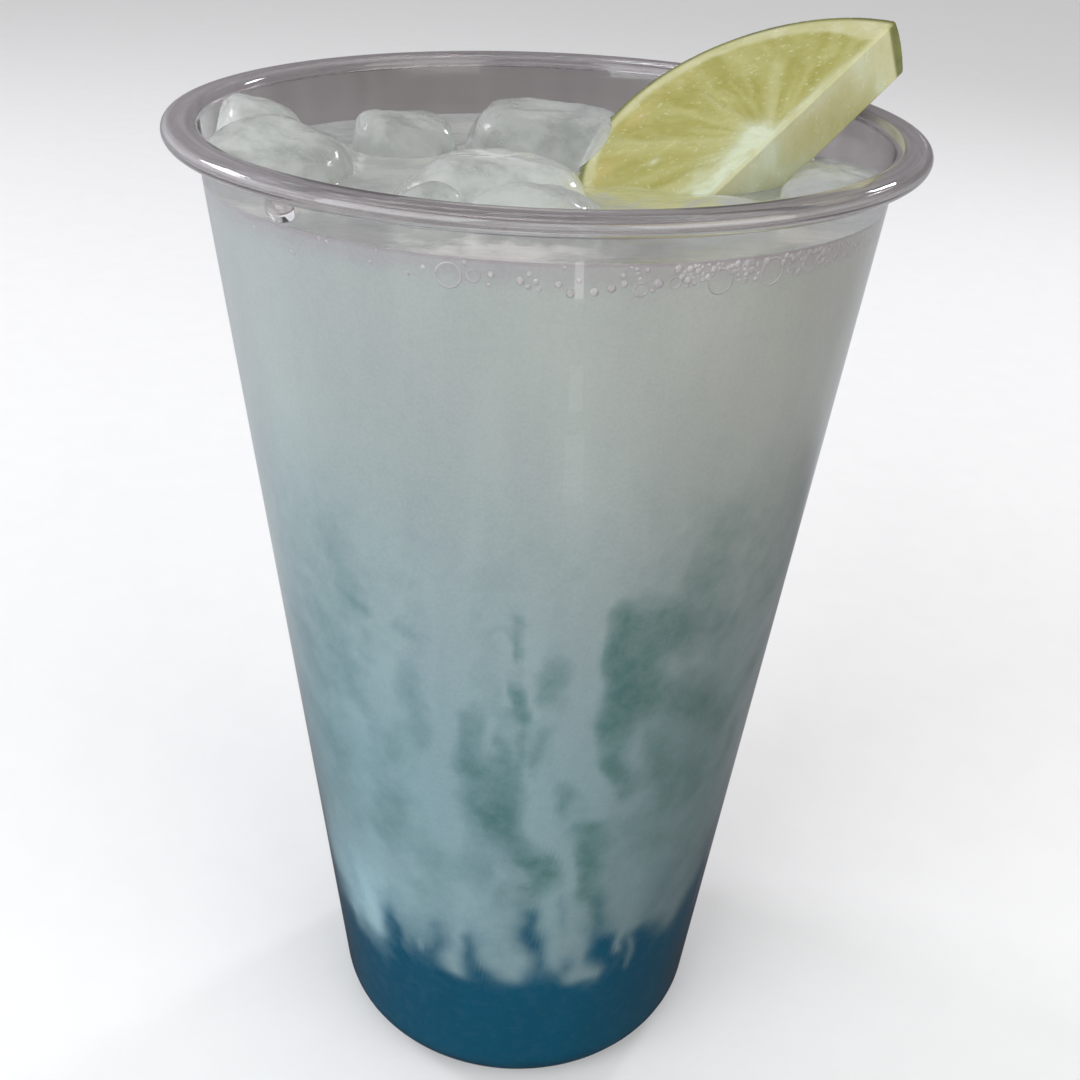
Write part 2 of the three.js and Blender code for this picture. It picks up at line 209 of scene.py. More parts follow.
# Milky puffs and fingers that hang into the blue
FINGER_STROKES = (
    (-62, 36, -50, 46, 5.0, 0.6), (-56, 34, -50, 30, 4.0, 0.85), (-52.5, 28.5, -51.5, 26.8, 1.7, 0.7),
    (-46, 41, -43.6, 28.6, 2.7, 1.0), (-44, 47, -34, 45, 2.8, 0.9), (-38, 40, -22, 34, 4.5, 0.35),
    (-26.5, 31.5, -26.2, 30, 0.8, 0.5), (-15, 46, -14.5, 39, 1.8, 0.7),
    (-14.5, 38, -16.6, 31, 0.85, 0.85), (-17, 29.5, -15.6, 27, 2.0, 1.0), (-8, 47, -6, 38, 3.6, 0.75),
    (-3, 37, -1.6, 33, 1.8, 0.9), (-7, 33, -2, 29.5, 2.6, 0.9), (2, 31, 0, 28.3, 2.7, 1.0),
    (8.5, 48, 8.6, 41, 1.5, 0.9), (13, 57, 13.4, 47, 1.2, 0.7), (13.4, 46, 16, 41, 1.6, 0.9),
    (16, 42, 15.6, 34, 2.3, 0.95), (11, 38, 12, 31, 1.9, 0.85), (17.5, 36, 19.6, 28, 1.6, 0.8),
    (18, 27.4, 23.6, 26.2, 1.5, 0.9), (12, 30, 16, 27, 1.3, 0.5), (29, 42, 30, 36.5, 2.8, 0.75),
    (33, 36.5, 29.5, 35.5, 1.2, 0.8), (29.2, 35, 28.6, 30, 0.8, 0.8), (33.4, 31, 34, 24.6, 0.8, 0.5),
    (38, 50, 46, 40, 5.0, 0.8), (43, 36, 49, 32.5, 3.2, 0.85),
)
MM_PER_DEGREE = 0.62
# Heights in mm over which the blue fades, is full and the cloud closes
BLUE_FADES, ALL_BLUE, CLOUD_CLOSES = (24, 43), (21.5, 25.5), (96, 124)
# Bearings over which the blue rises at the cup's right edge, and falls again
RIGHT_EDGE_FROM, RIGHT_EDGE_TO = (50, 62), (75, 100)
DRINK_COLOURS = (
    "milky_high_left",
    "milky_high_right",
    "milky_low_left",
    "milky_low_right",
    "clear_left",
    "clear_right",
    "blue",
    "rim",
)
# Where the cloud's colour changes across the cup and up it. The change across the cup is painted light:
# cooler on the left, warmer on the right, and low down brighter on the left
LEFT_TO_RIGHT, LOW_TO_HIGH = (-20 * MM, 37 * MM), (60 * MM, 142 * MM)
# Painted light on the fingers on the left: how much brighter they are made than the cloud over them, and
# where that begins and is full
FINGER_PAINTED_LIGHT = 1.5
PAINTED_LIGHT_HEIGHTS, PAINTED_LIGHT_SIDE = (52 * MM, 30 * MM), (-8 * MM, -26 * MM)
# The sides and the back have the same swirls: the bearing that 0 goes to, mirrored or not, and the rise
SWIRL_COPIES = ((101, -1, 1.5), (230, 1, -1))

# Ice: middle, half sizes, turn, squareness, seed and finish
ICE = {
    "ice_left_tall": ((-39.4, 5, 142.4), (7.4, 7.2, 6.8), (-4, 38, 12), 2.3, 3, "left_ice"),
    "ice_left_front": ((-34.6, -8.5, 141.7), (8, 14, 6.8), (3, 24, -22), 2.1, 11, "left_ice"),
    "ice_back_left": ((-20.2, 12.5, 141.8), (6.9, 7, 5.2), (0, 4, 20), 2.5, 17, "cloudy_ice_painted_darker"),
    "ice_back_centre": ((0.2, 13.5, 141.4), (11.2, 9, 7.3), (3, -2, -8), 2.7, 23, "cloudy_ice_painted_darker"),
    "ice_front_centre": ((-6.4, -14.8, 141.6), (11.9, 7.8, 6.2), (4, 1, 4), 2.8, 31, "clear_ice_painted_lighter"),
    "ice_front_low": ((-1.6, -26.4, 142.9), (8.2, 5.4, 4.7), (0, 0, 4), 2.3, 41, "cloudy_ice_painted_darker"),
    "ice_front_left": ((-12.9, -26.2, 143), (4.6, 4, 4), (0, 3, 12), 2.3, 47, "cloudy_ice_painted_darker"),
    "ice_right": ((37.8, -6, 140.1), (7.2, 13.8, 5.8), (2, 2, -20), 2.7, 53, "clear_ice_painted_lighter"),
}
# Finishes of the ice: how clear and how bright. The brightness is painted light: it lifts the clear lumps,
# which lie in shade, and dims the cloudy and left ones
ICE_FINISHES = {"cloudy_ice_painted_darker": (0.68, 0.78), "clear_ice_painted_lighter": (0.66, 1.05), "left_ice": (0.62, 0.9)}
ICE_CREASE = math.radians(50)
ICE_UNEVEN = 0.05
ICE_SIDES = 72
ICE_RINGS = 44
ICE_BETWEEN = 0.12 * MM
ICE_FROM_WALL = 0.1 * MM
MELT_DEPTH = 0.22 * MM
MELT_SIZE = 3.2 * MM

# Lime, in its own plane: x along the cut through its middle, y across the slice, z out of its upper face
LIME_CENTRE = (28.68, -3.57, 148.8)
LIME_TURN = (1.3, -29.5, 41.1)
SKIN_BULGE = 0.5 * MM
LIME_MESH_SIZE = 0.24 * MM
LIME_EDGE = 0.45 * MM
LIME_SIDES, CUTTER_SIDES = 200, 96
SLICE_CREASE = math.radians(50)
PITH_SPREAD = 0.9
SKIN_DEPTH = 1.0
CELL_ANGLE, CELL_LENGTH = 5.2, 4.6
FIBRE_WIDTH, FIBRE_LENGTH = 1.3, 6.5
CELL_HEIGHT, CELL_TILT = 0.05, 0.04
MEMBRANE_HEIGHT = 0.05
PORE_SPACING, PORE_DEPTH = 0.85, 0.07
FILM_HEIGHT = 0.16
# How far the flesh reaches from the middle: bearing in the slice's plane, radius
FLESH_REACH = ((-20, 21.4), (6, 21.6), (20, 23.2), (60, 23.9), (90, 24.3), (135, 24.4), (200, 23.9))
# Membranes on the upper face: both ends, half width and strength
MEMBRANES = (
    (-8.9, 23.0, -4.0, 9.0, 0.6, 0.3), (-4.0, 9.0, -0.6, 2.0, 0.7, 0.4),
    (4.5, 16.0, 3.0, 10.5, 0.5, 0.22), (3.0, 10.5, 0.6, 2.0, 0.7, 0.3),
    (13.0, 10.0, 7.0, 6.0, 0.95, 0.25), (7.0, 6.0, 1.0, 1.5, 0.8, 0.4),
    (-23.0, 7.0, -1.0, 1.6, 0.6, 0.5), (1.0, 0.3, 24.0, 0.3, 0.6, 0.6),
)
# Milky film on the upper face: middle, half sizes and strength
FILM_PLACES = (
    (-12.5, 1.0, 6.5, 2.6, 0.75), (-6.0, 1.2, 5.0, 2.2, 0.7), (-17.0, 4.0, 4.0, 3.0, 0.35),
    (-1.5, 1.2, 3.4, 2.8, 0.85), (0.6, 3.2, 1.8, 2.4, 0.6), (-7.5, 5.0, 4.0, 1.6, 0.25),
    (8.0, 0.4, 9.0, 0.8, 0.5), (-9.5, 12.5, 0.8, 0.6, 0.5),
)
# Ochre places on the upper face, written the same way
OCHRE_PLACES = (
    (-14.0, 18.5, 3.6, 2.0, 0.9), (-3.0, 22.0, 3.5, 1.3, 0.8), (6.0, 21.5, 4.0, 1.2, 0.35),
    (-16.5, 13.5, 1.5, 3.0, 0.4),
)
# The same on the straight cut, where the second number is the depth below the upper face
CUT_FILM_PLACES = (
    (-0.5, 2.5, 2.6, 5.0, 0.85), (-6.0, 4.0, 4.0, 5.0, 0.6), (3.5, 6.8, 4.0, 1.6, 0.4),
    (18.5, 2.0, 2.2, 3.0, 0.5), (10.0, 0.8, 9.0, 0.9, 0.35), (21.0, 6.5, 1.6, 2.0, 0.6),
)
# How pale the straight cut is, from its upper edge to its lower one
CUT_PALE_HIGH, CUT_PALE_LOW = 0.95, 0.5

# Camera: where the photograph was taken from, and which way it looks
CAMERA_PLACE = (0, -178.73, 186.04)
CAMERA_RIGHT = (0.99916, 0.01408, 0.03859)
CAMERA_UP = (-0.04057, 0.48624, 0.87288)
CAMERA_LENS = 44.499
SENSOR_WIDTH = 36
CLIP_START = 5 * MM

# Floor: half size, colour of its speckles, and how it looks through the plastic
FLOOR_HALF = 3.0
FLOOR_SPECKLE = (0.6, 0.6, 0.6)
FLOOR_THROUGH_PLASTIC = (0.262, 0.24, 0.232)
# Middle of the floor that the front of the cup mirrors, and its colours there and far away
MIRRORED_PLACE = (0, -0.15, 0)
MIRRORED_NEAR, MIRRORED_FAR = (0.04, 0.04, 0.045), (0.40, 0.41, 0.42)
# Middle of the darker floor that the right edge of the cup mirrors
DIM_PLACE = (0.12, 0.06, 0)
MIRRORED_DIM = (0.2, 0.2, 0.205)
# Room that shiny things mirror, and how strongly it lights the part
ROOM_LEFT, ROOM_RIGHT = (0.95, 0.94, 0.98), (0.24, 0.225, 0.235)
ROOM_STRENGTH = 0.85

# Place, size, power in watts and colour of each light, all aimed at one place
LIGHTS_AIM = (0, 0, 80 * MM)
LIGHTS = {
    "key": ((-0.7, -0.75, 0.55), 0.9, 9.0, (0.95, 0.98, 1.0)),
    "fill": ((0.75, -0.65, 0.45), 0.9, 5.0, (1.0, 0.97, 0.92)),
    "window": ((-0.8, 0.35, 0.6), 0.25, 2.5, (0.95, 0.94, 1.0)),
    "lamp": ((0.42, 0.5, 0.5), 0.08, 0.9, (0.95, 0.94, 1.0)),
}
# Narrow lights that lie in front of the cup, which mirrors them as an upright streak
STRIP_BEARING = 11.2
STRIP_AWAY = 0.291
STRIP_TURN = math.radians(7.3)
STRIP_HEIGHT = 2 * MM
STRIP_COLOUR = (1.0, 0.94, 1.0)
# Distance of each strip's middle from the first one's, its width, its length and its power in watts
STRIPS = {
    "strip": (0, 0.014, 0.024, 0.0031),
    "strip_tail": (0.062, 0.017, 0.024, 0.0007),
    "strip_end": (0.100, 0.022, 0.030, 0.0009),
}


def length_setting(name, description, default):
    return FloatProperty(name=name, description=description, default=default, unit="LENGTH")


def colour_setting(name, description, default):
    return FloatVectorProperty(
        name=name, description=description, subtype="COLOR", default=default, min=0, max=1
    )


class CupSettings(bpy.types.PropertyGroup):
    height: length_setting("Height", "Height of the cup over the surface it stands on", 150 * MM)
    lip_radius: length_setting("Lip radius", "Outer radius of the rolled lip", 49 * MM)
    wall: length_setting("Wall", "Thickness of the plastic", CUP_WALL)
    colour: colour_setting(
        "Plastic", "Colour that the clear plastic gives to what is behind it", (0.84, 0.83, 0.85)
    )
    # The lip's greyer colour is also the dark side of its painted refraction bands
    lip_colour: colour_setting(
        "Lip", "Greyer colour of the rolled lip, where the plastic lies double", (0.49, 0.455, 0.46)
    )


class DrinkSettings(bpy.types.PropertyGroup):
    level: length_setting("Level", "Height of the drink's surface", 142 * MM)
    # The colours seen from above are darker than the side's: painted shade that evens out the stronger light
    # on upward faces
    surface: colour_setting("Surface", "Colour of the drink seen from above", (0.30, 0.315, 0.30))
    cream: colour_setting("Cream", "Colour of the pale swirls on the surface", (0.38, 0.39, 0.36))
    # The left and right colours differ by painted light: cooler on the left, warmer on the right, and
    # brighter low on the left
    milky_high_left: colour_setting(
        "Cloud, high left", "Cloudy layer near the surface, on the left", (0.395, 0.436, 0.419)
    )
    milky_high_right: colour_setting(
        "Cloud, high right", "Cloudy layer near the surface, on the right", (0.450, 0.470, 0.426)
    )
    milky_low_left: colour_setting(
        "Cloud, low left", "Cloudy layer near the blue one, on the left", (0.265, 0.393, 0.422)
    )
    milky_low_right: colour_setting(
        "Cloud, low right", "Cloudy layer near the blue one, on the right", (0.215, 0.300, 0.312)
    )
    clear_left: colour_setting(
        "Clear places, left", "Blue-green places in the cloud, on the left", (0.085, 0.195, 0.200)
    )
    clear_right: colour_setting(
        "Clear places, right", "Blue-green places in the cloud, on the right", (0.085, 0.170, 0.150)
    )
    blue: colour_setting("Blue layer", "Colour of the syrup at the bottom", (0.0, 0.078, 0.140))
    skin: colour_setting("Bubbles", "Colour of the bubbles' brighter places", (0.50, 0.49, 0.485))
    rim: colour_setting(
        "Edge", "Colour of the line and the band under the drink's edge", (0.34, 0.305, 0.32)
    )


class IceSettings(bpy.types.PropertyGroup):
    colour: colour_setting("Ice", "Colour of the clear ice", (0.84, 0.865, 0.84))
    cloud: colour_setting("Cloudy patches", "Colour of the cloudy patches in the ice", (0.58, 0.605, 0.57))
    frost: FloatProperty(
        name="Frost",
        description="How rough the cloudy patches are",
        subtype="FACTOR",
        default=0.22,
        min=0,
        max=1,
    )


class LimeSettings(bpy.types.PropertyGroup):
    radius: length_setting("Radius", "Radius of the slice", 26.35 * MM)
    thickness: length_setting("Thickness", "Thickness of the slice", 8.2 * MM)
    flesh: colour_setting("Flesh", "Colour of the juicy segments", (0.345, 0.330, 0.080))
    ochre: colour_setting("Ochre", "Colour of the riper places in the flesh", (0.45, 0.36, 0.12))
    film: colour_setting("Milky film", "Colour of the drink that clings to the slice", (0.55, 0.60, 0.45))
    pith: colour_setting("Pith", "Colour of the pith and the membranes", (0.51, 0.50, 0.30))
    skin: colour_setting("Skin", "Colour of the outer skin", (0.115, 0.12, 0.032))


class StageSettings(bpy.types.PropertyGroup):
    floor: colour_setting("Floor", "Colour of the floor", (0.82, 0.82, 0.81))
    room: colour_setting("Room", "Colour of the light that comes from all round", (0.80, 0.80, 0.82))


SETTINGS = {
    "iced_cup": CupSettings,
    "iced_drink": DrinkSettings,
    "iced_ice": IceSettings,
    "iced_lime": LimeSettings,
    "iced_stage": StageSettings,
}


def millimetres(*lengths):
    return Vector(lengths) * MM


def lerp(start, end, share):
    return start + (end - start) * share


def smooth(start, end, values):
    """0 before start, 1 after end, and smooth between them."""
    share = np.clip((values - start) / (end - start), 0, 1)
    return share * share * (3 - 2 * share)


def polar(radius, bearing, height):
    return Vector((radius * math.sin(bearing), -radius * math.cos(bearing), height))


def bearing_of(point):
    return math.atan2(point.x, -point.y)


def draw(seed):
    value = math.sin(seed * 127.1 + 311.7) * 43758.5453
    return value - math.floor(value)


def turn_between(degrees, middle):
    return (degrees - middle + 180) % 360 - 180


def line_distance(x, y, start, end):
    """How far places lie from a straight line with two ends."""
    (x0, y0), (x1, y1) = start, end
    run, rise = x1 - x0, y1 - y0
    along = np.clip(((x - x0) * run + (y - y0) * rise) / (run * run + rise * rise), 0, 1)
    return np.hypot(x - x0 - along * run, y - y0 - along * rise)


# Pieces


def new_object(name, mesh, materials=()):
    data = bpy.data.meshes.new(name)
    mesh.to_mesh(data)
    for material in materials:
        data.materials.append(material)
    made = bpy.data.objects.new(name, data)
    bpy.context.collection.objects.link(made)
    return made


def add_piece(name, mesh, materials, slot, *nodes):
    """Make a bmesh a smooth-shaded piece that rides on the cup and stands for CAD nodes."""
    piece = new_object(name, mesh, materials)
    mesh.free()
    piece.data.shade_smooth()
    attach(piece, BODY)
    if nodes:
        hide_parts(*nodes)
    return piece


def modified(scratch):
    """Turn a scratch object, as its modifiers leave it, back into a bmesh."""
    evaluated = scratch.evaluated_get(bpy.context.evaluated_depsgraph_get())
    result = bmesh.new()
    result.from_mesh(evaluated.to_mesh())
    evaluated.to_mesh_clear()
    bpy.data.meshes.remove(scratch.data)
    return result


def carve(mesh, cutters):
    """Cut closed bmeshes out of another one."""
    whole = new_object("carved", mesh)
    tools = [new_object("cutter", cutter) for cutter in cutters]
    for tool in tools:
        cut = whole.modifiers.new("cut", "BOOLEAN")
        cut.operation = "DIFFERENCE"
        cut.solver = "MANIFOLD"
        cut.object = tool
    result = modified(whole)
    for tool in tools:
        bpy.data.meshes.remove(tool.data)
    return result


def append_mesh(target, mesh):
    """Add one bmesh to another."""
    data = bpy.data.meshes.new("part")
    mesh.to_mesh(data)
    target.from_mesh(data)
    bpy.data.meshes.remove(data)


def wrapped(section, sides, place):
    """Closed solid wrapped round the cup's axis from a grid, where place gives each point."""
    mesh = bmesh.new()
    rows = len(section) - 1
    bmesh.ops.create_grid(mesh, x_segments=sides, y_segments=rows, size=1)
    for vert in mesh.verts:
        entry = section[round((vert.co.y + 1) / 2 * rows)]
        vert.co = place(*entry, math.pi * vert.co.x)
    bmesh.ops.remove_doubles(mesh, verts=mesh.verts, dist=MERGE_WITHIN)
    bmesh.ops.recalc_face_normals(mesh, faces=mesh.faces)
    return mesh


# Cup


def wall_radius(height, inset=0.0):
    outer = WALL_LOW_RADIUS + WALL_SLOPE * (height - WALL_LOW_HEIGHT)
    return outer - inset / math.cos(WALL_ANGLE)


def arc(radius_at, height_at, radius, start, end, steps):
    for step in range(steps + 1):
        angle = math.radians(lerp(start, end, step / steps))
        yield radius_at + radius * math.cos(angle), height_at + radius * math.sin(angle)


def floor_line(inset, steps):
    """Half section of the cup's floor and heel, moved inwards."""
    shift = inset * RAMP_SHIFT
    heel_centre = wall_radius(HEEL_RADIUS, HEEL_RADIUS)
    return [
        (0, RECESS_DEPTH + inset),
        (RECESS_RADIUS + shift, RECESS_DEPTH + inset),
        (FOOT_INNER_RADIUS + shift, inset),
        *arc(heel_centre, HEEL_RADIUS, HEEL_RADIUS - inset, -90, -math.degrees(WALL_ANGLE), steps),
    ]


def cup_section(cup):
    curl_radius = cup.lip_radius - LIP_CURL_RADIUS
    curl_height = cup.height - LIP_CURL_RADIUS
    curl_end = 90 - LIP_CURL_SWEEP
    fillet_height = cup.height - cup.wall - LIP_ROOT_FILLET
    fillet_radius = wall_radius(fillet_height) + LIP_ROOT_FILLET
    inner_top = wall_radius(cup.height, cup.wall)
    inner_curl = LIP_CURL_RADIUS - cup.wall
    return [
        *floor_line(0, 14),
        *arc(fillet_radius, fillet_height, LIP_ROOT_FILLET, 180, 90, 8),
        *arc(curl_radius, curl_height, inner_curl, 90, curl_end, 14),
        *arc(curl_radius, curl_height, LIP_CURL_RADIUS, curl_end, 90, 20),
        *arc(inner_top + LIP_INNER_ROUND, cup.height - LIP_INNER_ROUND, LIP_INNER_ROUND, 90, 180, 12),
        *reversed(floor_line(cup.wall, 14)),
    ]


class ICED_OT_cup(bpy.types.Operator):
    """Turn the clear cup with its rolled lip"""

    bl_idname = "iced.cup"
    bl_label = "Clear Cup"
    bl_options = {"REGISTER", "UNDO"}

    def execute(self, context):
        cup = context.scene.iced_cup
        wall = plastic_material("clear_plastic", wall_marks, cup.colour, *WALL_FINISH)
        lip = plastic_material("lip_plastic", ring_marks_and_painted_bands, cup.lip_colour, *LIP_FINISH)
        mesh = wrapped(cup_section(cup), CUP_SIDES, lambda radius, height, turn: polar(radius, turn, height))
        piece = add_piece("cup_shell", mesh, [wall, lip], "clear_plastic", "cup")
        root = cup.height - cup.wall - LIP_ROOT_FILLET
        for polygon in piece.data.polygons:
            polygon.material_index = int(polygon.center.z > root)
        return {"FINISHED"}


# Drink


def all_fingers():
    """The fingers seen at the front, and others of their kind round the back."""
    fingers = list(FRONT_FINGERS)
    for bearing in range(BACK_FROM, BACK_TO, BACK_PITCH):
        middle = bearing + BACK_STRAY * (2 * draw(bearing) - 1)
        fingers.append((middle, BACK_TIP + BACK_TIP_STRAY * draw(bearing + 1), BACK_SPREAD))
    return fingers


FINGERS = all_fingers()


def boundary_at_wall(bearing):
    degrees = math.degrees(bearing)
    lowest = CREST_HEIGHT
    for middle, tip, spread in FINGERS:
        share = math.exp(-((turn_between(degrees, middle) / spread) ** 2))
        lowest = min(lowest, CREST_HEIGHT - (CREST_HEIGHT - tip * MM) * share)
    return lowest


def meniscus_rise(bearing):
    return lerp(MENISCUS_BACK, MENISCUS_FRONT, (1 + math.cos(bearing)) / 2)


def contact_height(level, bearing):
    """Where the drink's surface meets the wall."""
    fall = SURFACE_FALL * wall_radius(level, CUP_WALL) * math.cos(bearing)
    return level + fall + meniscus_rise(bearing)


class DrinkShape:
    """Places the points of the two layers by the part of the section and the share along it."""

    def __init__(self, cup, drink, lumps):
        self.inset = cup.wall - REACH_IN
        self.level = drink.level
        self.lumps = lumps
        self.floor = floor_line(self.inset, 12)

    def bottom(self, share, bearing):
        radius, height = self.floor[round(share)]
        return polar(radius, bearing, height)

    def blue_side(self, share, bearing):
        height = lerp(self.floor[-1][1], boundary_at_wall(bearing), share)
        return polar(wall_radius(height, self.inset), bearing, height)

    def boundary(self, share, bearing):
        at_wall = boundary_at_wall(bearing)
        height = lerp(CORE_HEIGHT, at_wall, share**2)
        return polar(share * wall_radius(at_wall, self.inset), bearing, height)

    def side(self, share, bearing):
        low, high = boundary_at_wall(bearing), contact_height(self.level, bearing)
        height = lerp(low, high, share)
        return polar(wall_radius(height, self.inset), bearing, height)

    def surface(self, share, bearing):
        edge = wall_radius(contact_height(self.level, bearing), self.inset)
        spot = polar(share * edge, bearing, self.level)
        spot.z -= SURFACE_FALL * spot.y
        rise = meniscus_rise(bearing) * math.exp(-(1 - share) * edge / MENISCUS_REACH)
        for x, y, height, reach in SURFACE_SWELLS:
            away = math.hypot(spot.x - x * MM, spot.y - y * MM) / (reach * MM)
            rise += height * MM * math.exp(-(away**2))
        inside = 1 - share**8
        rise += SURFACE_RIPPLE * noise.noise(spot / RIPPLE_SIZE) * inside
        spot.z += rise
        away = self.lumps.find_nearest(spot)[3]
        spot.z += ICE_CLIMB * math.exp(-away / ICE_CLIMB_REACH) * inside
        return spot

    def place(self, part, share, bearing):
        return getattr(self, part)(share, bearing)


def cloudy_section():
    """Boundary from the axis to the wall, the wall upwards, the surface back to the axis."""
    return [
        ("boundary", 0),
        *(("boundary", share) for share in BOUNDARY_RINGS),
        *(("side", RIM_FROM * row / DRINK_ROWS) for row in range(DRINK_ROWS)),
        *(("side", lerp(RIM_FROM, 1, row / RIM_ROWS)) for row in range(RIM_ROWS + 1)),
        *(("surface", 1 - ring / SURFACE_RING_COUNT) for ring in range(1, SURFACE_RING_COUNT + 1)),
    ]


def blue_section(shape):
    """The cup's floor and heel, the wall up to the boundary, and the boundary back to the axis."""
    return [
        *(("bottom", step) for step in range(len(shape.floor))),
        *(("blue_side", row / BLUE_ROWS) for row in range(1, BLUE_ROWS + 1)),
        *(("boundary", share) for share in reversed(BOUNDARY_RINGS)),
        ("boundary", 0),
    ]


def lump_tree(meshes):
    merged = bmesh.new()
    for mesh in meshes:
        append_mesh(merged, mesh)
    tree = BVHTree.FromBMesh(merged)
    merged.free()
    return tree


def all_round(strokes):
    """The front's strokes, and copies of them for the sides and the back."""
    copies = list(strokes)
    for turn, way, rise in SWIRL_COPIES:
        for from_at, from_height, to_at, to_height, *size in strokes:
            ends = (turn + way * from_at, from_height + rise, turn + way * to_at, to_height + rise)
            copies.append((*ends, *size))
    return copies


def stroke_shares(strokes, degrees, height):
    """How strongly each stroke covers each place, from a full middle to a soft edge."""
    for from_at, from_height, to_at, to_height, width, strength in all_round(strokes):
        across = turn_between(degrees, from_at) * MM_PER_DEGREE
        end = ((to_at - from_at) * MM_PER_DEGREE, to_height)
        away = line_distance(across, height, (0, from_height), end)
        yield strength * np.exp(-((away / width) ** 2))


def drink_shares(points):
    """How blue and how clear the drink is at each point of its side."""
    noise.seed_set(SWIRL_SEED)
    slow = np.array([noise.noise_vector(point / SLOW_SWIRL) for point in points])
    quick = np.array([noise.noise_vector(point / QUICK_SWIRL) for point in points])
    fine = np.array([noise.fractal(point / FINE_SWIRL, 0.7, 2.1, 4) for point in points])
    warp = slow + 0.5 * quick
    place = np.array(points)
    turn = np.degrees(np.arctan2(place[:, 0], -place[:, 1]))
    level = place[:, 2] / MM
    degrees, height = turn + WARP_ACROSS * warp[:, 0], level + WARP_UP * warp[:, 2]
    milk = 1 - math.prod(1 - share for share in stroke_shares(FINGER_STROKES, degrees, height))

    right = smooth(*RIGHT_EDGE_FROM, turn) * (1 - smooth(*RIGHT_EDGE_TO, turn))
    blue = 1 - smooth(*BLUE_FADES, height + 2.5 * fine - 7 * right)
    blue = np.clip(blue + sum(stroke_shares(BLUE_STROKES, degrees, height)), 0, 1)
    blue *= 1 - 0.95 * milk
    blue = np.maximum(blue, 1 - smooth(*ALL_BLUE, height))

    clear = sum(stroke_shares(CLEAR_STROKES, degrees, height))
    clear -= 0.8 * sum(stroke_shares(MILKY_STROKES, degrees, height))
    clear += 0.06 + 0.1 * smooth(112, 60, height)
    clear += 0.17 * smooth(8, 40, turn) * smooth(126, 100, height) * smooth(52, 72, height)
    clear += 0.2 * smooth(-20, -50, turn) * smooth(72, 90, height)
    clear *= 1 - 0.7 * milk * (1 - smooth(42, 54, height))
    clear *= 1 - smooth(*CLOUD_CLOSES, height)
    clear += (0.12 + 0.24 * np.clip(clear, 0, 1)) * fine * (1 - smooth(*CLOUD_CLOSES, level))
    return np.clip(blue, 0, 1), 1 - np.exp(-np.clip(clear, 0, None))


def rim_share(points, drink_level):
    """How much of each point of the side belongs to the dark line and band under the drink's edge."""
    below = np.array([contact_height(drink_level, bearing_of(point)) - point.z for point in points])
    for index in np.flatnonzero(below < 2 * RIM_BAND):
        below[index] += RIM_FRAY * noise.fractal(points[index] / RIPPLE_SIZE, 0.7, 2.1, 3)
    band = RIM_BAND_SHARE * smooth(RIM_BAND, 0.15 * RIM_BAND, below)
    return band + RIM_LINE_SHARE * smooth(RIM_LINE, 0.4 * RIM_LINE, below)


def paint(piece, shares):
    """Keep named shares on a piece's points, where its finish reads them."""
    for name, values in shares.items():
        piece.data.attributes.new(name, "FLOAT", "POINT").data.foreach_set("value", values)


def paint_drink(piece, drink_level):
    points = [vert.co for vert in piece.data.vertices]
    blue, clear = drink_shares(points)
    paint(piece, {"blue_share": blue, "clear_share": clear, "rim_share": rim_share(points, drink_level)})


def split_sides(piece, surface_from):
    """Give upward faces of the surface their wet finish, and keep the rims crisp."""
    data = piece.data
    for polygon in data.polygons:
        top = polygon.center.z > surface_from and polygon.normal.z > -0.2
        rim = math.hypot(polygon.center.x, polygon.center.y) > wall_radius(polygon.center.z, CUP_WALL)
        polygon.material_index = 1 if top and not rim else 0
    data.set_sharp_from_angle(angle=DRINK_CREASE)


class ICED_OT_drink(bpy.types.Operator):
    """Fill the cup with the blue layer and the cloudy one, which is cut round the ice"""

    bl_idname = "iced.drink"
    bl_label = "Two Layers of Drink"
    bl_options = {"REGISTER", "UNDO"}

    def execute(self, context):
        cup, drink = context.scene.iced_cup, context.scene.iced_drink
        lumps = [ice_lump(name, -REACH_IN) for name in ICE]
        shape = DrinkShape(cup, drink, lump_tree(lumps))
        side, surface = drink_material(drink), surface_material(drink)

        low = wrapped(blue_section(shape), DRINK_SIDES, shape.place)
        blue = add_piece("blue_layer", low, [side], "blue_layer", "blue_syrup")
        blue.data.set_sharp_from_angle(angle=DRINK_CREASE)
        paint_drink(blue, drink.level)

        whole = wrapped(cloudy_section(), DRINK_SIDES, shape.place)
        lime = lime_cutter(context.scene.iced_lime, -REACH_IN)
        carved = carve(whole, [*lumps, lime])
        for mesh in [whole, lime, *lumps]:
            mesh.free()
        cloudy = add_piece("cloudy_layer", carved, [side, surface], "cloudy_layer", "cloudy_drink")
        split_sides(cloudy, drink.level - SURFACE_DEPTH)
        paint_drink(cloudy, drink.level)
        return {"FINISHED"}


# Bubbles and droplet


def at_wall(bearing, height, radius):
    """Place on the wall and turn: x runs round the cup, -y outwards and z up the wall."""
    turn = Matrix.Rotation(bearing, 4, "Z") @ Matrix.Rotation(WALL_ANGLE, 4, "X")
    return Matrix.Translation(polar(radius, bearing, height)) @ turn


def bubble_places():
    """Bearing, depth under the drink's edge and radius of each bubble, none on another."""
    rng = random.Random(BUBBLE_SEED)
    places = list(LARGE_BUBBLES)
    span = WALL_TOP_RADIUS / MM * math.pi / 180
    for start, end, deepest, largest, tries in BUBBLE_CROWDS:
        for _ in range(tries):
            bearing, radius = rng.uniform(start, end), rng.uniform(SMALLEST_BUBBLE, largest)
            below = HIGHEST_BUBBLE + radius + (deepest - radius) * rng.random() ** BUBBLE_RISE
            room = [
                math.hypot((bearing - b) * span, below - d) - BUBBLE_APART * (radius + r)
                for b, d, r in places
            ]
            if min(room) > 0:
                places.append((bearing, below, radius))
    return places


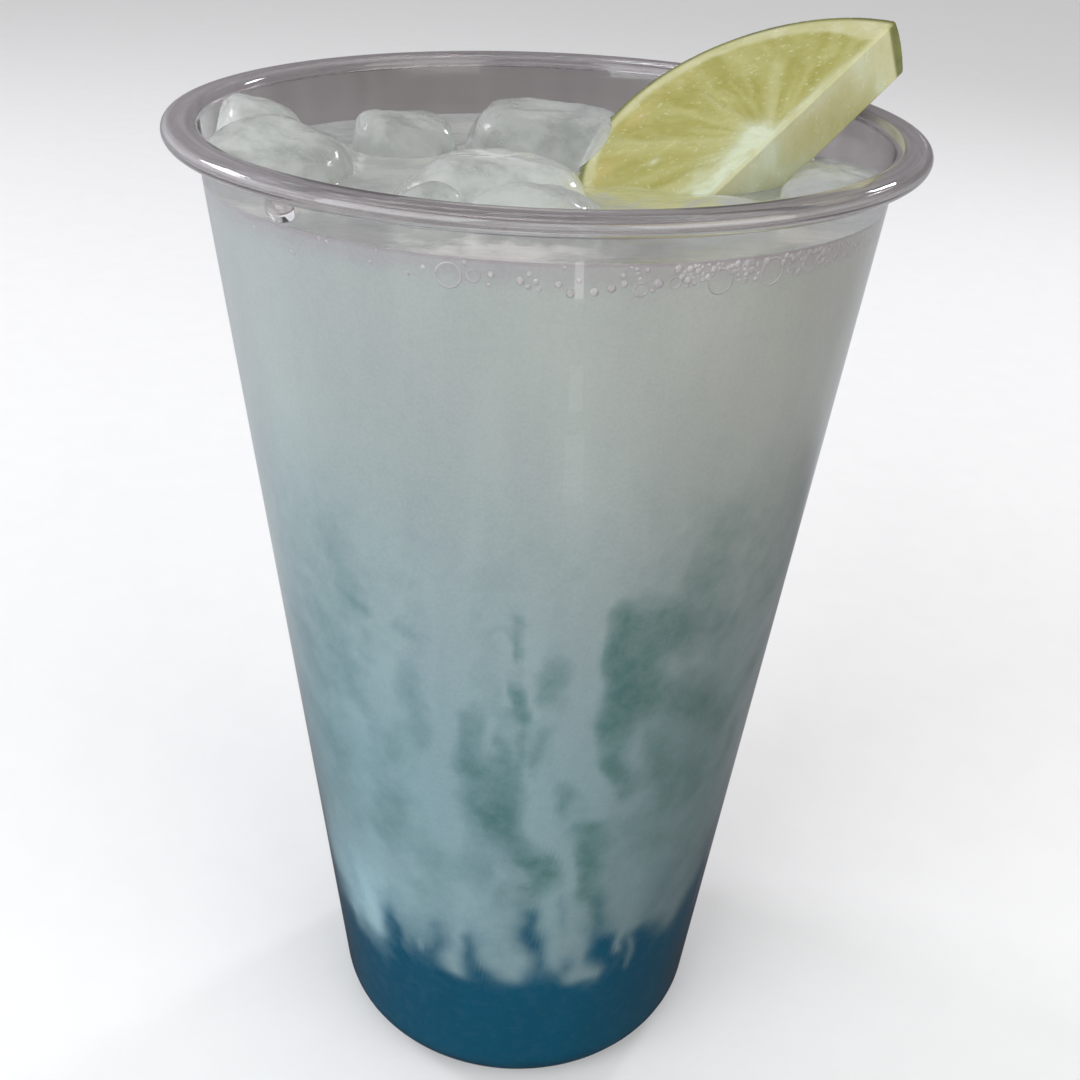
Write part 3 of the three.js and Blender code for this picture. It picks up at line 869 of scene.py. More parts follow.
def ring_shape(radius):
    """A thin ring that lies against the wall."""
    mesh = bmesh.new()
    turn = Matrix.Translation((radius, 0, 0))
    bmesh.ops.create_circle(mesh, segments=6, radius=RING_THICKNESS * MM, matrix=turn)
    bmesh.ops.spin(
        mesh,
        geom=mesh.verts[:] + mesh.edges[:],
        cent=(0, 0, 0),
        axis=(0, 1, 0),
        dvec=(0, 0, 0),
        angle=2 * math.pi,
        steps=20,
        use_merge=True,
        use_duplicate=False,
    )
    return mesh


def bubble_shape(radius):
    mesh = bmesh.new()
    bmesh.ops.create_uvsphere(mesh, u_segments=10, v_segments=6, radius=radius)
    return mesh


class ICED_OT_bubbles(bpy.types.Operator):
    """Gather bubbles at the wall, just under the drink's edge"""

    bl_idname = "iced.bubbles"
    bl_label = "Bubbles at the Wall"
    bl_options = {"REGISTER", "UNDO"}

    def execute(self, context):
        cup, drink = context.scene.iced_cup, context.scene.iced_drink
        mesh = bmesh.new()
        flat = Matrix.Diagonal((1, BUBBLE_FLATNESS, 1, 1))
        for degrees, below, radius in bubble_places():
            bearing = math.radians(degrees)
            height = contact_height(drink.level, bearing) - below * MM
            place = at_wall(bearing, height, wall_radius(height, cup.wall - REACH_IN))
            shape = ring_shape(radius * MM) if radius > RING_FROM else bubble_shape(radius * MM)
            shape.transform(place @ flat)
            append_mesh(mesh, shape)
            shape.free()
        bmesh.ops.recalc_face_normals(mesh, faces=mesh.faces)
        add_piece("wall_bubbles", mesh, [bubble_material(drink)], "cloudy_layer")
        return {"FINISHED"}


class ICED_OT_droplet(bpy.types.Operator):
    """Hang a droplet of water on the outside of the wall, under the lip"""

    bl_idname = "iced.droplet"
    bl_label = "Droplet"
    bl_options = {"REGISTER", "UNDO"}

    def execute(self, context):
        mesh = bmesh.new()
        half = [part * MM for part in DROPLET_HALF_SIZE]
        bmesh.ops.create_uvsphere(mesh, u_segments=32, v_segments=20, radius=1)
        for vert in mesh.verts:
            x, y, z = vert.co
            sag = 1 + DROPLET_SAG * max(0, -z)
            vert.co = (x * half[0] * sag, min(y, DROPLET_BACK) * half[1] * sag, z * half[2])
        radius = wall_radius(DROPLET_HEIGHT) + DROPLET_OUT * half[1]
        mesh.transform(at_wall(math.radians(DROPLET_BEARING), DROPLET_HEIGHT, radius))
        bmesh.ops.recalc_face_normals(mesh, faces=mesh.faces)
        add_piece("water_droplet", mesh, [water_material()], "ice")
        return {"FINISHED"}


# Ice


def ice_lump(name, swell):
    """A melting lump: a rounded block made uneven by slow waves and shallow dimples."""
    centre, half, lean, power, seed, _ = ICE[name]
    mesh = bmesh.new()
    bmesh.ops.create_uvsphere(mesh, u_segments=ICE_SIDES, v_segments=ICE_RINGS, radius=1)
    turn = Euler([math.radians(angle) for angle in lean], "XYZ").to_matrix()
    inset = CUP_WALL + ICE_FROM_WALL
    for vert in mesh.verts:
        way = vert.co.normalized()
        x, y, z = way
        waves = math.sin(3.1 * x + 1.7 * y + seed)
        waves += math.sin(2.3 * y - 2.9 * z + 2 * seed)
        waves += math.sin(4.3 * z + 3.7 * x + 3 * seed)
        block = sum(abs(part) ** power for part in way) ** (-1 / power)
        reach = block * (1 + ICE_UNEVEN * waves)
        spot = Vector(part * size * MM * reach for part, size in zip(way, half))
        melt = noise.fractal(spot / MELT_SIZE + Vector((seed, 0, 0)), 0.8, 2.0, 3)
        spot += way * (MELT_DEPTH * melt + swell)
        spot = turn @ spot + millimetres(*centre)
        radius, limit = math.hypot(spot.x, spot.y), wall_radius(spot.z, inset - min(swell, 0))
        if radius > limit:
            spot.x *= limit / radius
            spot.y *= limit / radius
        vert.co = spot
    bmesh.ops.recalc_face_normals(mesh, faces=mesh.faces)
    return mesh


class ICED_OT_ice(bpy.types.Operator):
    """Set the eight lumps of ice, each cut where an earlier one or the lime lies"""

    bl_idname = "iced.ice"
    bl_label = "Ice"
    bl_options = {"REGISTER", "UNDO"}

    def execute(self, context):
        settings = context.scene.iced_ice
        finishes = {name: ice_material(settings, name, *look) for name, look in ICE_FINISHES.items()}
        taken = [lime_cutter(context.scene.iced_lime, ICE_BETWEEN)]
        for name in ICE:
            lump = ice_lump(name, 0)
            carved = carve(lump, taken)
            lump.free()
            finish = finishes[ICE[name][-1]]
            piece = add_piece(name.replace("ice_", "ice_lump_"), carved, [finish], "ice", name)
            piece.data.set_sharp_from_angle(angle=ICE_CREASE)
            taken.append(ice_lump(name, ICE_BETWEEN))
        for mesh in taken:
            mesh.free()
        return {"FINISHED"}


# Lime


def lime_place():
    turn = Euler([math.radians(angle) for angle in LIME_TURN], "XYZ").to_matrix().to_4x4()
    return Matrix.Translation(millimetres(*LIME_CENTRE)) @ turn


def half_disc(radius, thickness, segments):
    """Half a round slice, with its upper face at height 0 and its straight cut at y 0."""
    mesh = bmesh.new()
    bmesh.ops.create_cone(
        mesh,
        cap_ends=True,
        segments=segments,
        radius1=radius,
        radius2=radius,
        depth=thickness,
        matrix=Matrix.Translation((0, 0, -thickness / 2)),
    )
    everything = [*mesh.verts, *mesh.edges, *mesh.faces]
    cut = bmesh.ops.bisect_plane(
        mesh, geom=everything, plane_co=(0, 0, 0), plane_no=(0, 1, 0), clear_inner=True, dist=MERGE_WITHIN
    )
    rim = [edge for edge in cut["geom_cut"] if isinstance(edge, bmesh.types.BMEdge)]
    bmesh.ops.contextual_create(mesh, geom=rim)
    bmesh.ops.recalc_face_normals(mesh, faces=mesh.faces)
    return mesh


def soft_edged(mesh, width):
    """Round the edges where a piece's faces meet."""
    sharp = [edge for edge in mesh.edges if edge.calc_face_angle(0) > SLICE_CREASE]
    bmesh.ops.bevel(
        mesh,
        geom=sharp,
        offset=width,
        segments=3,
        profile=0.5,
        affect="EDGES",
        material=-1,
        clamp_overlap=True,
    )
    return mesh


def bulged(mesh, lime):
    """Swell the skin between the slice's two faces."""
    for vert in mesh.verts:
        across = 2 * vert.co.z / lime.thickness + 1
        grow = 1 + SKIN_BULGE * max(0, 1 - across**2) / lime.radius
        vert.co.x *= grow
        vert.co.y *= grow
    return mesh


def lime_cutter(lime, swell):
    """The slice, swollen or shrunk, for cutting what lies round it."""
    mesh = half_disc(lime.radius + swell, lime.thickness + 2 * swell, CUTTER_SIDES)
    bmesh.ops.translate(mesh, verts=mesh.verts, vec=(0, -swell, swell))
    bulged(mesh, lime)
    mesh.transform(lime_place())
    return mesh


def even_mesh(mesh, size):
    """Remesh a closed bmesh into even faces."""
    block = new_object("block", mesh)
    mesh.free()
    remesh = block.modifiers.new("even", "REMESH")
    remesh.mode = "VOXEL"
    remesh.voxel_size = size
    return modified(block)


def cells(across, along, seed):
    """Juice cells: how far each place is inside its own cell, and that cell's draw."""
    inside, drawn = [], []
    for u, v in zip(across, along):
        distances, points = noise.voronoi(Vector((u, v, seed)))
        inside.append(distances[1] - distances[0])
        drawn.append(noise.noise(points[0] * 3.7))
    return smooth(0.0, 0.45, np.array(inside)), np.array(drawn)


def spots(places, first, second):
    total = np.zeros_like(first)
    for x, y, wide, tall, strength in places:
        total += strength * np.exp(-(((first - x) / wide) ** 2) - ((second - y) / tall) ** 2)
    return np.clip(total, 0, 1)


def membrane_share(x, y):
    """How much of each place of the upper face is membrane, which spreads where it meets the pith."""
    most = np.zeros_like(x)
    for x0, y0, x1, y1, half, strength in MEMBRANES:
        width = half * (1 + 1.6 * smooth(19, 25, np.hypot(x, y)))
        away = line_distance(x, y, (x0, y0), (x1, y1))
        most = np.maximum(most, strength * np.exp(-((away / width) ** 2)))
    return most


def fractal_of(x, y, size, seed, octaves=3):
    places = (Vector((u / size, v / size, seed)) for u, v in zip(x, y))
    return np.array([noise.fractal(place, 0.8, 2.0, octaves) for place in places])


class LimeFaces:
    """Relief in millimetres and finish shares of the slice, worked out face by face."""

    def __init__(self, places, normals, lime):
        self.x, self.y, self.z = (places / MM).T
        self.depth = -self.z
        self.radius = np.hypot(self.x, self.y)
        self.turn = np.degrees(np.arctan2(self.y, self.x))
        self.edge = lime.radius / MM
        facing = np.clip(normals, -1, 1)
        self.upper = np.clip(facing[:, 2], 0, 1) ** 2
        self.under = np.clip(-facing[:, 2], 0, 1) ** 2
        self.cut = np.clip(-facing[:, 1], 0, 1) ** 2 * (self.y < 1.0)
        self.rim = np.clip(1 - self.upper - self.under - self.cut, 0, 1)

    def flesh_edge(self):
        bearings, reaches = zip(*FLESH_REACH)
        waves = 0.35 * fractal_of(self.x, self.y, 4.0, 3.0)
        return np.interp(self.turn, bearings, reaches) + waves

    def face(self):
        """Upper and lower face: relief, pith, film, ochre and the draw of each juice cell."""
        stray = fractal_of(self.x, self.y, 5.0, 9.0)
        across = self.turn / CELL_ANGLE + 0.5 * stray
        along = self.radius / CELL_LENGTH + 0.6 * stray
        inside, drawn = cells(across, along, 1.5)
        tone = fractal_of(across, 0.6 * along, 1.6, 4.0, 2) + 0.3 * stray
        ring = smooth(-PITH_SPREAD, 0.25, self.radius - self.flesh_edge())
        pith = np.maximum(ring, membrane_share(self.x, self.y))
        frayed = fractal_of(self.x, self.y, 2.2, 5.0)
        film = np.clip(spots(FILM_PLACES, self.x, self.y) * (1 + 0.5 * frayed), 0, 1) * self.upper
        relief = (CELL_HEIGHT * inside + CELL_TILT * drawn) * (1 - pith)
        relief += MEMBRANE_HEIGHT * pith + FILM_HEIGHT * film
        return relief, pith, film, spots(OCHRE_PLACES, self.x, self.y), tone

    def straight_cut(self):
        """The cut through the middle, which runs along one segment's wall."""
        stray = fractal_of(self.x, self.depth, 3.0, 7.0)
        inside, drawn = cells(self.depth / FIBRE_WIDTH + stray, self.x / FIBRE_LENGTH + 0.4 * stray, 6.5)
        pith = smooth(19.2, 21.4, self.x + 0.8 * stray)
        pale = lerp(CUT_PALE_HIGH, CUT_PALE_LOW, smooth(0.5, 7.5, self.depth + 0.8 * stray))
        pith = np.maximum(pith, pale)
        film = spots(CUT_FILM_PLACES, self.x, self.depth) * (1 + 0.5 * stray)
        relief = (0.6 * CELL_HEIGHT * inside + 0.6 * CELL_TILT * drawn) * (1 - pith)
        return relief, pith, np.clip(film, 0, 1), 0.25 * smooth(2, 0.5, self.depth), 0.5 * stray

    def skin_relief(self):
        """Pores of the skin."""
        round_rim = self.turn * self.edge * math.pi / 180
        inside, drawn = cells(round_rim / PORE_SPACING, self.depth / PORE_SPACING, 2.5)
        return -PORE_DEPTH * inside + 0.03 * drawn

    def finish(self):
        on_face, on_cut = self.face(), self.straight_cut()
        faces = self.upper + self.under
        total = [a * faces + b * self.cut for a, b in zip(on_face, on_cut)]
        skin = np.maximum(self.rim, smooth(self.edge - 1.3 * SKIN_DEPTH, self.edge - 0.6, self.radius))
        thick = smooth(self.edge - 2.0, self.edge - 1.3, self.x)
        skin = np.maximum(skin, self.cut * thick)
        total[0] += self.skin_relief() * self.rim
        names = ("pith_share", "film_share", "ochre_share", "cell_tone")
        return total[0], {"skin_share": skin, **dict(zip(names, total[1:]))}


class ICED_OT_lime(bpy.types.Operator):
    """Cut the half slice of lime, which leans on the rim, with its segments and pores"""

    bl_idname = "iced.lime"
    bl_label = "Half Slice of Lime"
    bl_options = {"REGISTER", "UNDO"}

    def execute(self, context):
        lime = context.scene.iced_lime
        block = soft_edged(half_disc(lime.radius, lime.thickness, LIME_SIDES), LIME_EDGE)
        mesh = even_mesh(block, LIME_MESH_SIZE)
        bulged(mesh, lime)
        mesh.normal_update()
        places = np.array([vert.co for vert in mesh.verts])
        normals = np.array([vert.normal for vert in mesh.verts])
        relief, shares = LimeFaces(places, normals, lime).finish()
        for vert, height in zip(mesh.verts, relief):
            vert.co += vert.normal * (height - CELL_HEIGHT) * MM
        mesh.transform(lime_place())
        piece = add_piece("lime_half_slice", mesh, [lime_material(lime)], "lime", "lime_slice")
        paint(piece, shares)
        return {"FINISHED"}


# Finishes


class Wiring:
    """Small helper that adds nodes to a tree and joins them."""

    def __init__(self, tree):
        self.tree = tree

    def node(self, kind, inputs=None, **settings):
        made = self.tree.nodes.new(kind)
        for name, value in settings.items():
            setattr(made, name, value)
        for name, value in (inputs or {}).items():
            self.feed(made.inputs[name], value)
        return made

    def feed(self, socket, value):
        if isinstance(value, bpy.types.NodeSocket):
            self.tree.links.new(value, socket)
        elif socket.type == "RGBA":
            socket.default_value = (*value, 1.0)
        else:
            socket.default_value = value

    def math(self, operation, *values, clamped=False):
        made = self.node("ShaderNodeMath", dict(enumerate(values)), operation=operation)
        made.use_clamp = clamped
        return made.outputs[0]

    def measure(self, operation, *vectors):
        made = self.node("ShaderNodeVectorMath", dict(enumerate(vectors)), operation=operation)
        return made.outputs["Value"]

    def mix(self, share, a, b, blend="MIX"):
        inputs = {"Factor": share, "A": a, "B": b}
        return self.node("ShaderNodeMix", inputs, data_type="RGBA", blend_type=blend).outputs["Result"]

    def tinted(self, colour, value):
        """A colour times a grey value."""
        grey = self.node("ShaderNodeCombineColor", {"Red": value, "Green": value, "Blue": value})
        return self.mix(1.0, colour, grey.outputs["Color"], "MULTIPLY")

    def span(self, value, low, high, to_low=0.0, to_high=1.0):
        inputs = {"Value": value, "From Min": low, "From Max": high, "To Min": to_low, "To Max": to_high}
        return self.node("ShaderNodeMapRange", inputs, interpolation_type="SMOOTHSTEP").outputs["Result"]

    def noise(self, vector, scale, detail=3.0, rough=0.5):
        inputs = {"Vector": vector, "Scale": scale, "Detail": detail, "Roughness": rough}
        return self.node("ShaderNodeTexNoise", inputs).outputs["Fac"]

    def parts(self, vector):
        return self.node("ShaderNodeSeparateXYZ", {"Vector": vector}).outputs

    def point(self):
        return self.node("ShaderNodeTexCoord").outputs["Object"]

    def share(self, name):
        return self.node("ShaderNodeAttribute", attribute_name=name).outputs["Fac"]

    def ray(self, kind):
        return self.node("ShaderNodeLightPath").outputs[kind]

    def close(self, finish, height=None, depth=0.0, tint=None):
        """End a material in one shader, bumped by a height. A tint lets light that casts shadows pass."""
        shader = self.node("ShaderNodeBsdfPrincipled", finish)
        surface = shader.outputs[0]
        if height is not None:
            bump = self.node("ShaderNodeBump", {"Height": height, "Distance": depth})
            self.feed(shader.inputs["Normal"], bump.outputs["Normal"])
        if tint:
            passing = self.node("ShaderNodeBsdfTransparent", {"Color": tint})
            inputs = {"Fac": self.ray("Is Shadow Ray"), 1: surface, 2: passing.outputs[0]}
            surface = self.node("ShaderNodeMixShader", inputs).outputs[0]
        self.node("ShaderNodeOutputMaterial", {"Surface": surface})


def brighter(colour, factor):
    return [factor * part for part in colour]


def new_material(name):
    material = bpy.data.materials.new(name)
    material.use_nodes = True
    material.node_tree.nodes.clear()
    return material, Wiring(material.node_tree)


def group_tree(name, **sockets):
    """A shader node group whose sockets have the given names and kinds."""
    tree = bpy.data.node_groups.new(name, "ShaderNodeTree")
    for way, kinds in sockets.items():
        for title, kind in kinds.items():
            tree.interface.new_socket(title, in_out=way, socket_type="NodeSocket" + kind)
    return tree, Wiring(tree)


def wet_film_group():
    """Slow ripples and fine unevenness of a wet surface, as a height and a roughness."""
    given = {"Ripple Size": "Float", "Smooth": "Float", "Rough": "Float"}
    tree, wire = group_tree("Wet film", INPUT=given, OUTPUT={"Height": "Float", "Roughness": "Float"})
    given = wire.node("NodeGroupInput").outputs
    point = wire.point()
    ripple = wire.noise(point, given["Ripple Size"], 3.0, 0.55)
    patches = wire.noise(point, wire.math("MULTIPLY", given["Ripple Size"], 0.6), 4.0, 0.6)
    spread = wire.math("SUBTRACT", given["Rough"], given["Smooth"])
    rough = wire.math("MULTIPLY_ADD", wire.span(patches, 0.42, 0.68), spread, given["Smooth"])
    wire.node("NodeGroupOutput", {"Height": ripple, "Roughness": rough})
    return tree


def wet_film(wire, size, smooth, rough):
    inputs = {"Ripple Size": size, "Smooth": smooth, "Rough": rough}
    tree = bpy.data.node_groups.get("Wet film") or wet_film_group()
    made = wire.node("ShaderNodeGroup", inputs, node_tree=tree)
    return made.outputs["Height"], made.outputs["Roughness"]


def swirl_group():
    """Colour of the drink from its shares of blue and clear, which the mesh keeps. Its change from left to
    right, and its lift low on the left, are painted light.
    """
    kinds = {socket_title(name): "Color" for name in DRINK_COLOURS}
    tree, wire = group_tree("Swirled drink", INPUT=kinds, OUTPUT={"Color": "Color"})
    given = wire.node("NodeGroupInput").outputs
    point = wire.point()
    parts = wire.parts(point)
    right = wire.span(parts["X"], *LEFT_TO_RIGHT)
    high = wire.span(parts["Z"], *LOW_TO_HIGH)
    fine = wire.noise(point, 520.0, 4.0, 0.6)
    grain = wire.noise(point, 2600.0, 2.0, 0.5)
    # Painted light: from left to right the colours turn from cooler to warmer, and low down from brighter to
    # darker
    milky_high = wire.mix(right, given["Milky High Left"], given["Milky High Right"])
    milky_low = wire.mix(right, given["Milky Low Left"], given["Milky Low Right"])
    clear = wire.mix(right, given["Clear Left"], given["Clear Right"])
    frayed = wire.span(fine, 0.3, 0.7, 0.88, 1.12)
    clear_share = wire.math("MULTIPLY", wire.share("clear_share"), frayed, clamped=True)
    milky = wire.mix(high, milky_low, milky_high)
    # Painted light: the cloud is made brighter low on the left
    low = wire.span(parts["Z"], *PAINTED_LIGHT_HEIGHTS)
    low_left = wire.math("MULTIPLY", low, wire.span(parts["X"], *PAINTED_LIGHT_SIDE))
    milky = wire.tinted(milky, wire.span(low_left, 0.0, 1.0, 1.0, FINGER_PAINTED_LIGHT))
    body = wire.mix(clear_share, milky, clear)
    frayed = wire.span(fine, 0.3, 0.7, -0.03, 0.03)
    blue_share = wire.math("ADD", wire.share("blue_share"), frayed, clamped=True)
    colour = wire.mix(blue_share, body, given["Blue"])
    colour = wire.mix(wire.share("rim_share"), colour, given["Rim"])
    speck = wire.span(grain, 0.35, 0.65, 0.97, 1.02)
    wire.node("NodeGroupOutput", {"Color": wire.tinted(colour, speck)})
    return tree


def socket_title(name):
    return name.replace("_", " ").title()


def drink_material(drink):
    """The drink where the cup's wall covers it."""
    material, wire = new_material("drink_behind_plastic")
    height, rough = wet_film(wire, 260.0, 0.5, 0.7)
    colours = {socket_title(name): getattr(drink, name) for name in DRINK_COLOURS}
    tree = bpy.data.node_groups.get("Swirled drink") or swirl_group()
    colour = wire.node("ShaderNodeGroup", colours, node_tree=tree).outputs["Color"]
    finish = {"Base Color": colour, "Roughness": rough, "Specular IOR Level": 0.1}
    wire.close(finish, height, 0.05 * MM)
    return material


def patch_share(wire, place, turn, half, share):
    """A frayed round patch, strongest in its middle."""
    point = wire.point()
    mapped = {"Vector": point, "Location": place, "Rotation": turn, "Scale": brighter(half, MM)}
    spot = wire.node("ShaderNodeMapping", mapped, vector_type="TEXTURE").outputs[0]
    fray = wire.span(wire.noise(point, 210.0, 4.0, 0.6), 0.3, 0.7, -PATCH_FRAY / 2, PATCH_FRAY / 2)
    return wire.span(wire.math("ADD", wire.measure("LENGTH", spot), fray), 1.4, 0.3, 0.0, share)


def surface_material(drink):
    """The drink's own wet surface and the hollows in which the ice floats. Its colours are darker than the
    side's, painted shade against the stronger light on upward faces.
    """
    material, wire = new_material("drink_surface")
    height, rough = wet_film(wire, 520.0, 0.05, 0.16)
    swirl = wire.span(wire.noise(wire.point(), 85.0, 4.0, 0.6), 0.38, 0.62)
    cream = wire.mix(swirl, drink.surface, drink.cream)
    for degrees, half, share in PALE_PATCHES:
        bearing = math.radians(degrees)
        place = polar(PALE_PATCH_AWAY, bearing, drink.level)
        cream = wire.mix(patch_share(wire, place, (0, 0, bearing), half, share), cream, PALE_PATCH_COLOUR)
    middle, half, share = SUNK_LIME
    place = lime_place() @ millimetres(*middle)
    sunk = patch_share(wire, place, [math.radians(angle) for angle in LIME_TURN], half, share)
    cream = wire.mix(sunk, cream, SUNK_LIME_COLOUR)
    wire.close({"Base Color": cream, "Roughness": rough, "IOR": 1.34}, height, 0.12 * MM)
    return material


def bubble_material(drink):
    """Wet skins of small bubbles, a little paler than the drink."""
    material, wire = new_material("bubble_skin")
    height, rough = wet_film(wire, 900.0, 0.15, 0.35)
    tone = wire.span(wire.noise(wire.point(), 700.0), 0.35, 0.65, 0.5, 1.0)
    shade = wire.mix(tone, drink.rim, drink.skin)
    wire.close({"Base Color": shade, "Roughness": rough, "Coat Weight": 0.3}, height, 0.02 * MM)
    return material


def water_material():
    material, wire = new_material("water")
    height, rough = wet_film(wire, 600.0, 0.0, 0.02)
    finish = {"Base Color": WATER_COLOUR, "Roughness": rough, "IOR": 1.45, "Transmission Weight": 1.0}
    wire.close(finish, height, 0.02 * MM, WATER_COLOUR)
    return material


def ring_marks_and_painted_bands(wire):
    """Fine marks that run round the cup's axis. On the lip they also stand in for the bright and dark bands
    of light bent in the rolled plastic: painted refraction.
    """
    parts = wire.parts(wire.point())
    flat = wire.node("ShaderNodeCombineXYZ", {"X": parts["X"], "Y": parts["Y"]}).outputs[0]
    slow = wire.math("MULTIPLY", parts["X"], 0.02)
    section = {"X": wire.measure("LENGTH", flat), "Y": parts["Z"], "Z": slow}
    return wire.noise(wire.node("ShaderNodeCombineXYZ", section).outputs[0], 1500.0, 3.0, 0.6)


def wall_marks(wire):
    """Slow flow marks that run down the wall."""
    drawn = wire.node("ShaderNodeMapping", {"Vector": wire.point(), "Scale": (1, 1, 0.15)}).outputs[0]
    return wire.noise(drawn, 160.0)


def plastic_material(name, marks, dark, light, rough, clearness, depth):
    """Clear plastic with fine marks: flow marks on the wall, and on the lip ring marks that are partly
    painted refraction bands.
    """
    material, wire = new_material(name)
    flow = marks(wire)
    _, uneven = wet_film(wire, 180.0, *rough)
    finish = {
        "Base Color": wire.mix(wire.span(flow, 0.35, 0.7), dark, light),
        "Roughness": uneven,
        "IOR": 1.3,
        "Transmission Weight": clearness,
        "Coat Weight": 0.6,
        "Coat Roughness": 0.02,
    }
    wire.close(finish, flow, depth, PLASTIC_SHADOW)
    return material


def ice_material(ice, name, clearness, light):
    """Wet ice with cloudy patches and a fine ripple."""
    material, wire = new_material(name)
    patch = wire.span(wire.noise(wire.point(), 130.0, 5.0, 0.62), 0.42, 0.68)
    height, film = wet_film(wire, 380.0, 0.03, 0.1)
    # Painted light: the brightness of each kind lifts or dims the ice's colours
    finish = {
        "Base Color": wire.mix(patch, brighter(ice.colour, light), brighter(ice.cloud, light)),
        "Roughness": wire.math("ADD", film, wire.math("MULTIPLY", patch, ice.frost)),
        "IOR": 1.16,
        "Transmission Weight": clearness,
        "Coat Weight": 0.35,
        "Coat Roughness": 0.03,
        "Coat IOR": 1.33,
    }
    wire.close(finish, height, 0.15 * MM, ICE_SHADOW)
    return material


def lime_material(lime):
    """Moist flesh between pale membranes, pith, and a skin full of pores, with painted glints on the flesh.
    """
    material, wire = new_material("lime")
    point = wire.point()
    fibre = wire.span(wire.noise(point, 700.0, 3.0, 0.55), 0.3, 0.7, -0.14, 0.14)
    cloud = wire.noise(point, 260.0, 4.0, 0.6)
    slow = wire.span(wire.share("cell_tone"), -0.9, 0.9)
    tone = wire.math("ADD", slow, fibre, clamped=True)
    light_flesh = [lerp(a, b, 0.3) for a, b in zip(lime.flesh, lime.pith)]
    flesh = wire.mix(tone, brighter(lime.flesh, 0.86), light_flesh)
    flesh = wire.mix(wire.math("MULTIPLY", wire.share("ochre_share"), 0.6), flesh, lime.ochre)
    # Painted highlights: small pale glints on the juice cells
    glint = wire.span(wire.noise(point, 1300.0, 1.0, 0.4), 0.66, 0.74, 0.0, 0.55)
    flesh = wire.mix(glint, flesh, lime.pith)
    pith = wire.mix(wire.span(cloud, 0.35, 0.65, 0.0, 0.5), lime.pith, light_flesh)
    body = wire.mix(wire.share("pith_share"), flesh, pith)
    body = wire.mix(wire.math("MULTIPLY", wire.share("film_share"), 0.9), body, lime.film)
    skin = wire.mix(wire.span(cloud, 0.35, 0.65), lime.skin, brighter(lime.skin, 1.5))
    height, rough = wet_film(wire, 900.0, 0.10, 0.3)
    finish = {
        "Base Color": wire.mix(wire.share("skin_share"), body, skin),
        "Roughness": rough,
        "Subsurface Weight": 0.25,
        "Subsurface Radius": (1.0, 1.0, 0.4),
        "Subsurface Scale": 1.2 * MM,
        "Coat Weight": 0.3,
        "Coat Roughness": 0.08,
    }
    wire.close(finish, height, 0.07 * MM)
    return material


# Stage


def floor_material(stage):
    """Pale floor, which the clear plastic shows darker, as it does a room."""
    material, wire = new_material("pale_floor")
    point = wire.point()
    speckle = wire.span(wire.noise(point, 90.0, 4.0, 0.6), 0.3, 0.7, 0.0, 0.06)
    near = wire.span(wire.measure("DISTANCE", point, MIRRORED_PLACE), 0.14, 0.30)
    dim = wire.span(wire.measure("DISTANCE", point, DIM_PLACE), 0.15, 0.07)
    mirrored = wire.mix(dim, wire.mix(near, MIRRORED_NEAR, MIRRORED_FAR), MIRRORED_DIM, "DARKEN")
    seen = wire.mix(speckle, stage.floor, FLOOR_SPECKLE)
    seen = wire.mix(wire.ray("Is Glossy Ray"), seen, mirrored)
    seen = wire.mix(wire.ray("Is Transmission Ray"), seen, FLOOR_THROUGH_PLASTIC)
    wire.close({"Base Color": seen, "Roughness": 0.75})
    return material


def room_world(stage):
    """Even light from all round, in which shiny things mirror a room that is brighter on the left."""
    world = bpy.data.worlds.new("soft_room")
    world.use_nodes = True
    wire = Wiring(world.node_tree)
    side = wire.parts(wire.node("ShaderNodeTexCoord").outputs["Generated"])["X"]
    mirrored = wire.mix(wire.span(side, -0.85, -0.1), ROOM_LEFT, ROOM_RIGHT)
    back = world.node_tree.nodes["Background"]
    wire.feed(back.inputs["Color"], wire.mix(wire.ray("Is Glossy Ray"), stage.room, mirrored))
    back.inputs["Strength"].default_value = ROOM_STRENGTH
    return world


def add_light(name, place, aim, size, watts, colour, tall=None):
    data = bpy.data.lights.new(name, "AREA")
    data.energy = watts
    data.color = colour
    data.size = size
    if tall:
        data.shape = "RECTANGLE"
        data.size_y = tall
    light = bpy.data.objects.new(name, data)
    light.location = place
    light.rotation_euler = (Vector(aim) - Vector(place)).to_track_quat("-Z", "Y").to_euler()
    bpy.context.collection.objects.link(light)
    return light


def add_strips():
    """Narrow lights that lie in front of the cup and face up."""
    start = polar(STRIP_AWAY, math.radians(STRIP_BEARING), STRIP_HEIGHT)
    for name, (nearer, width, length, watts) in STRIPS.items():
        place = start - polar(nearer, STRIP_TURN, 0)
        strip = add_light(name, place, place + Vector((0, 0, 1)), width, watts, STRIP_COLOUR, length)
        strip.rotation_euler = Euler((math.pi, 0, STRIP_TURN))


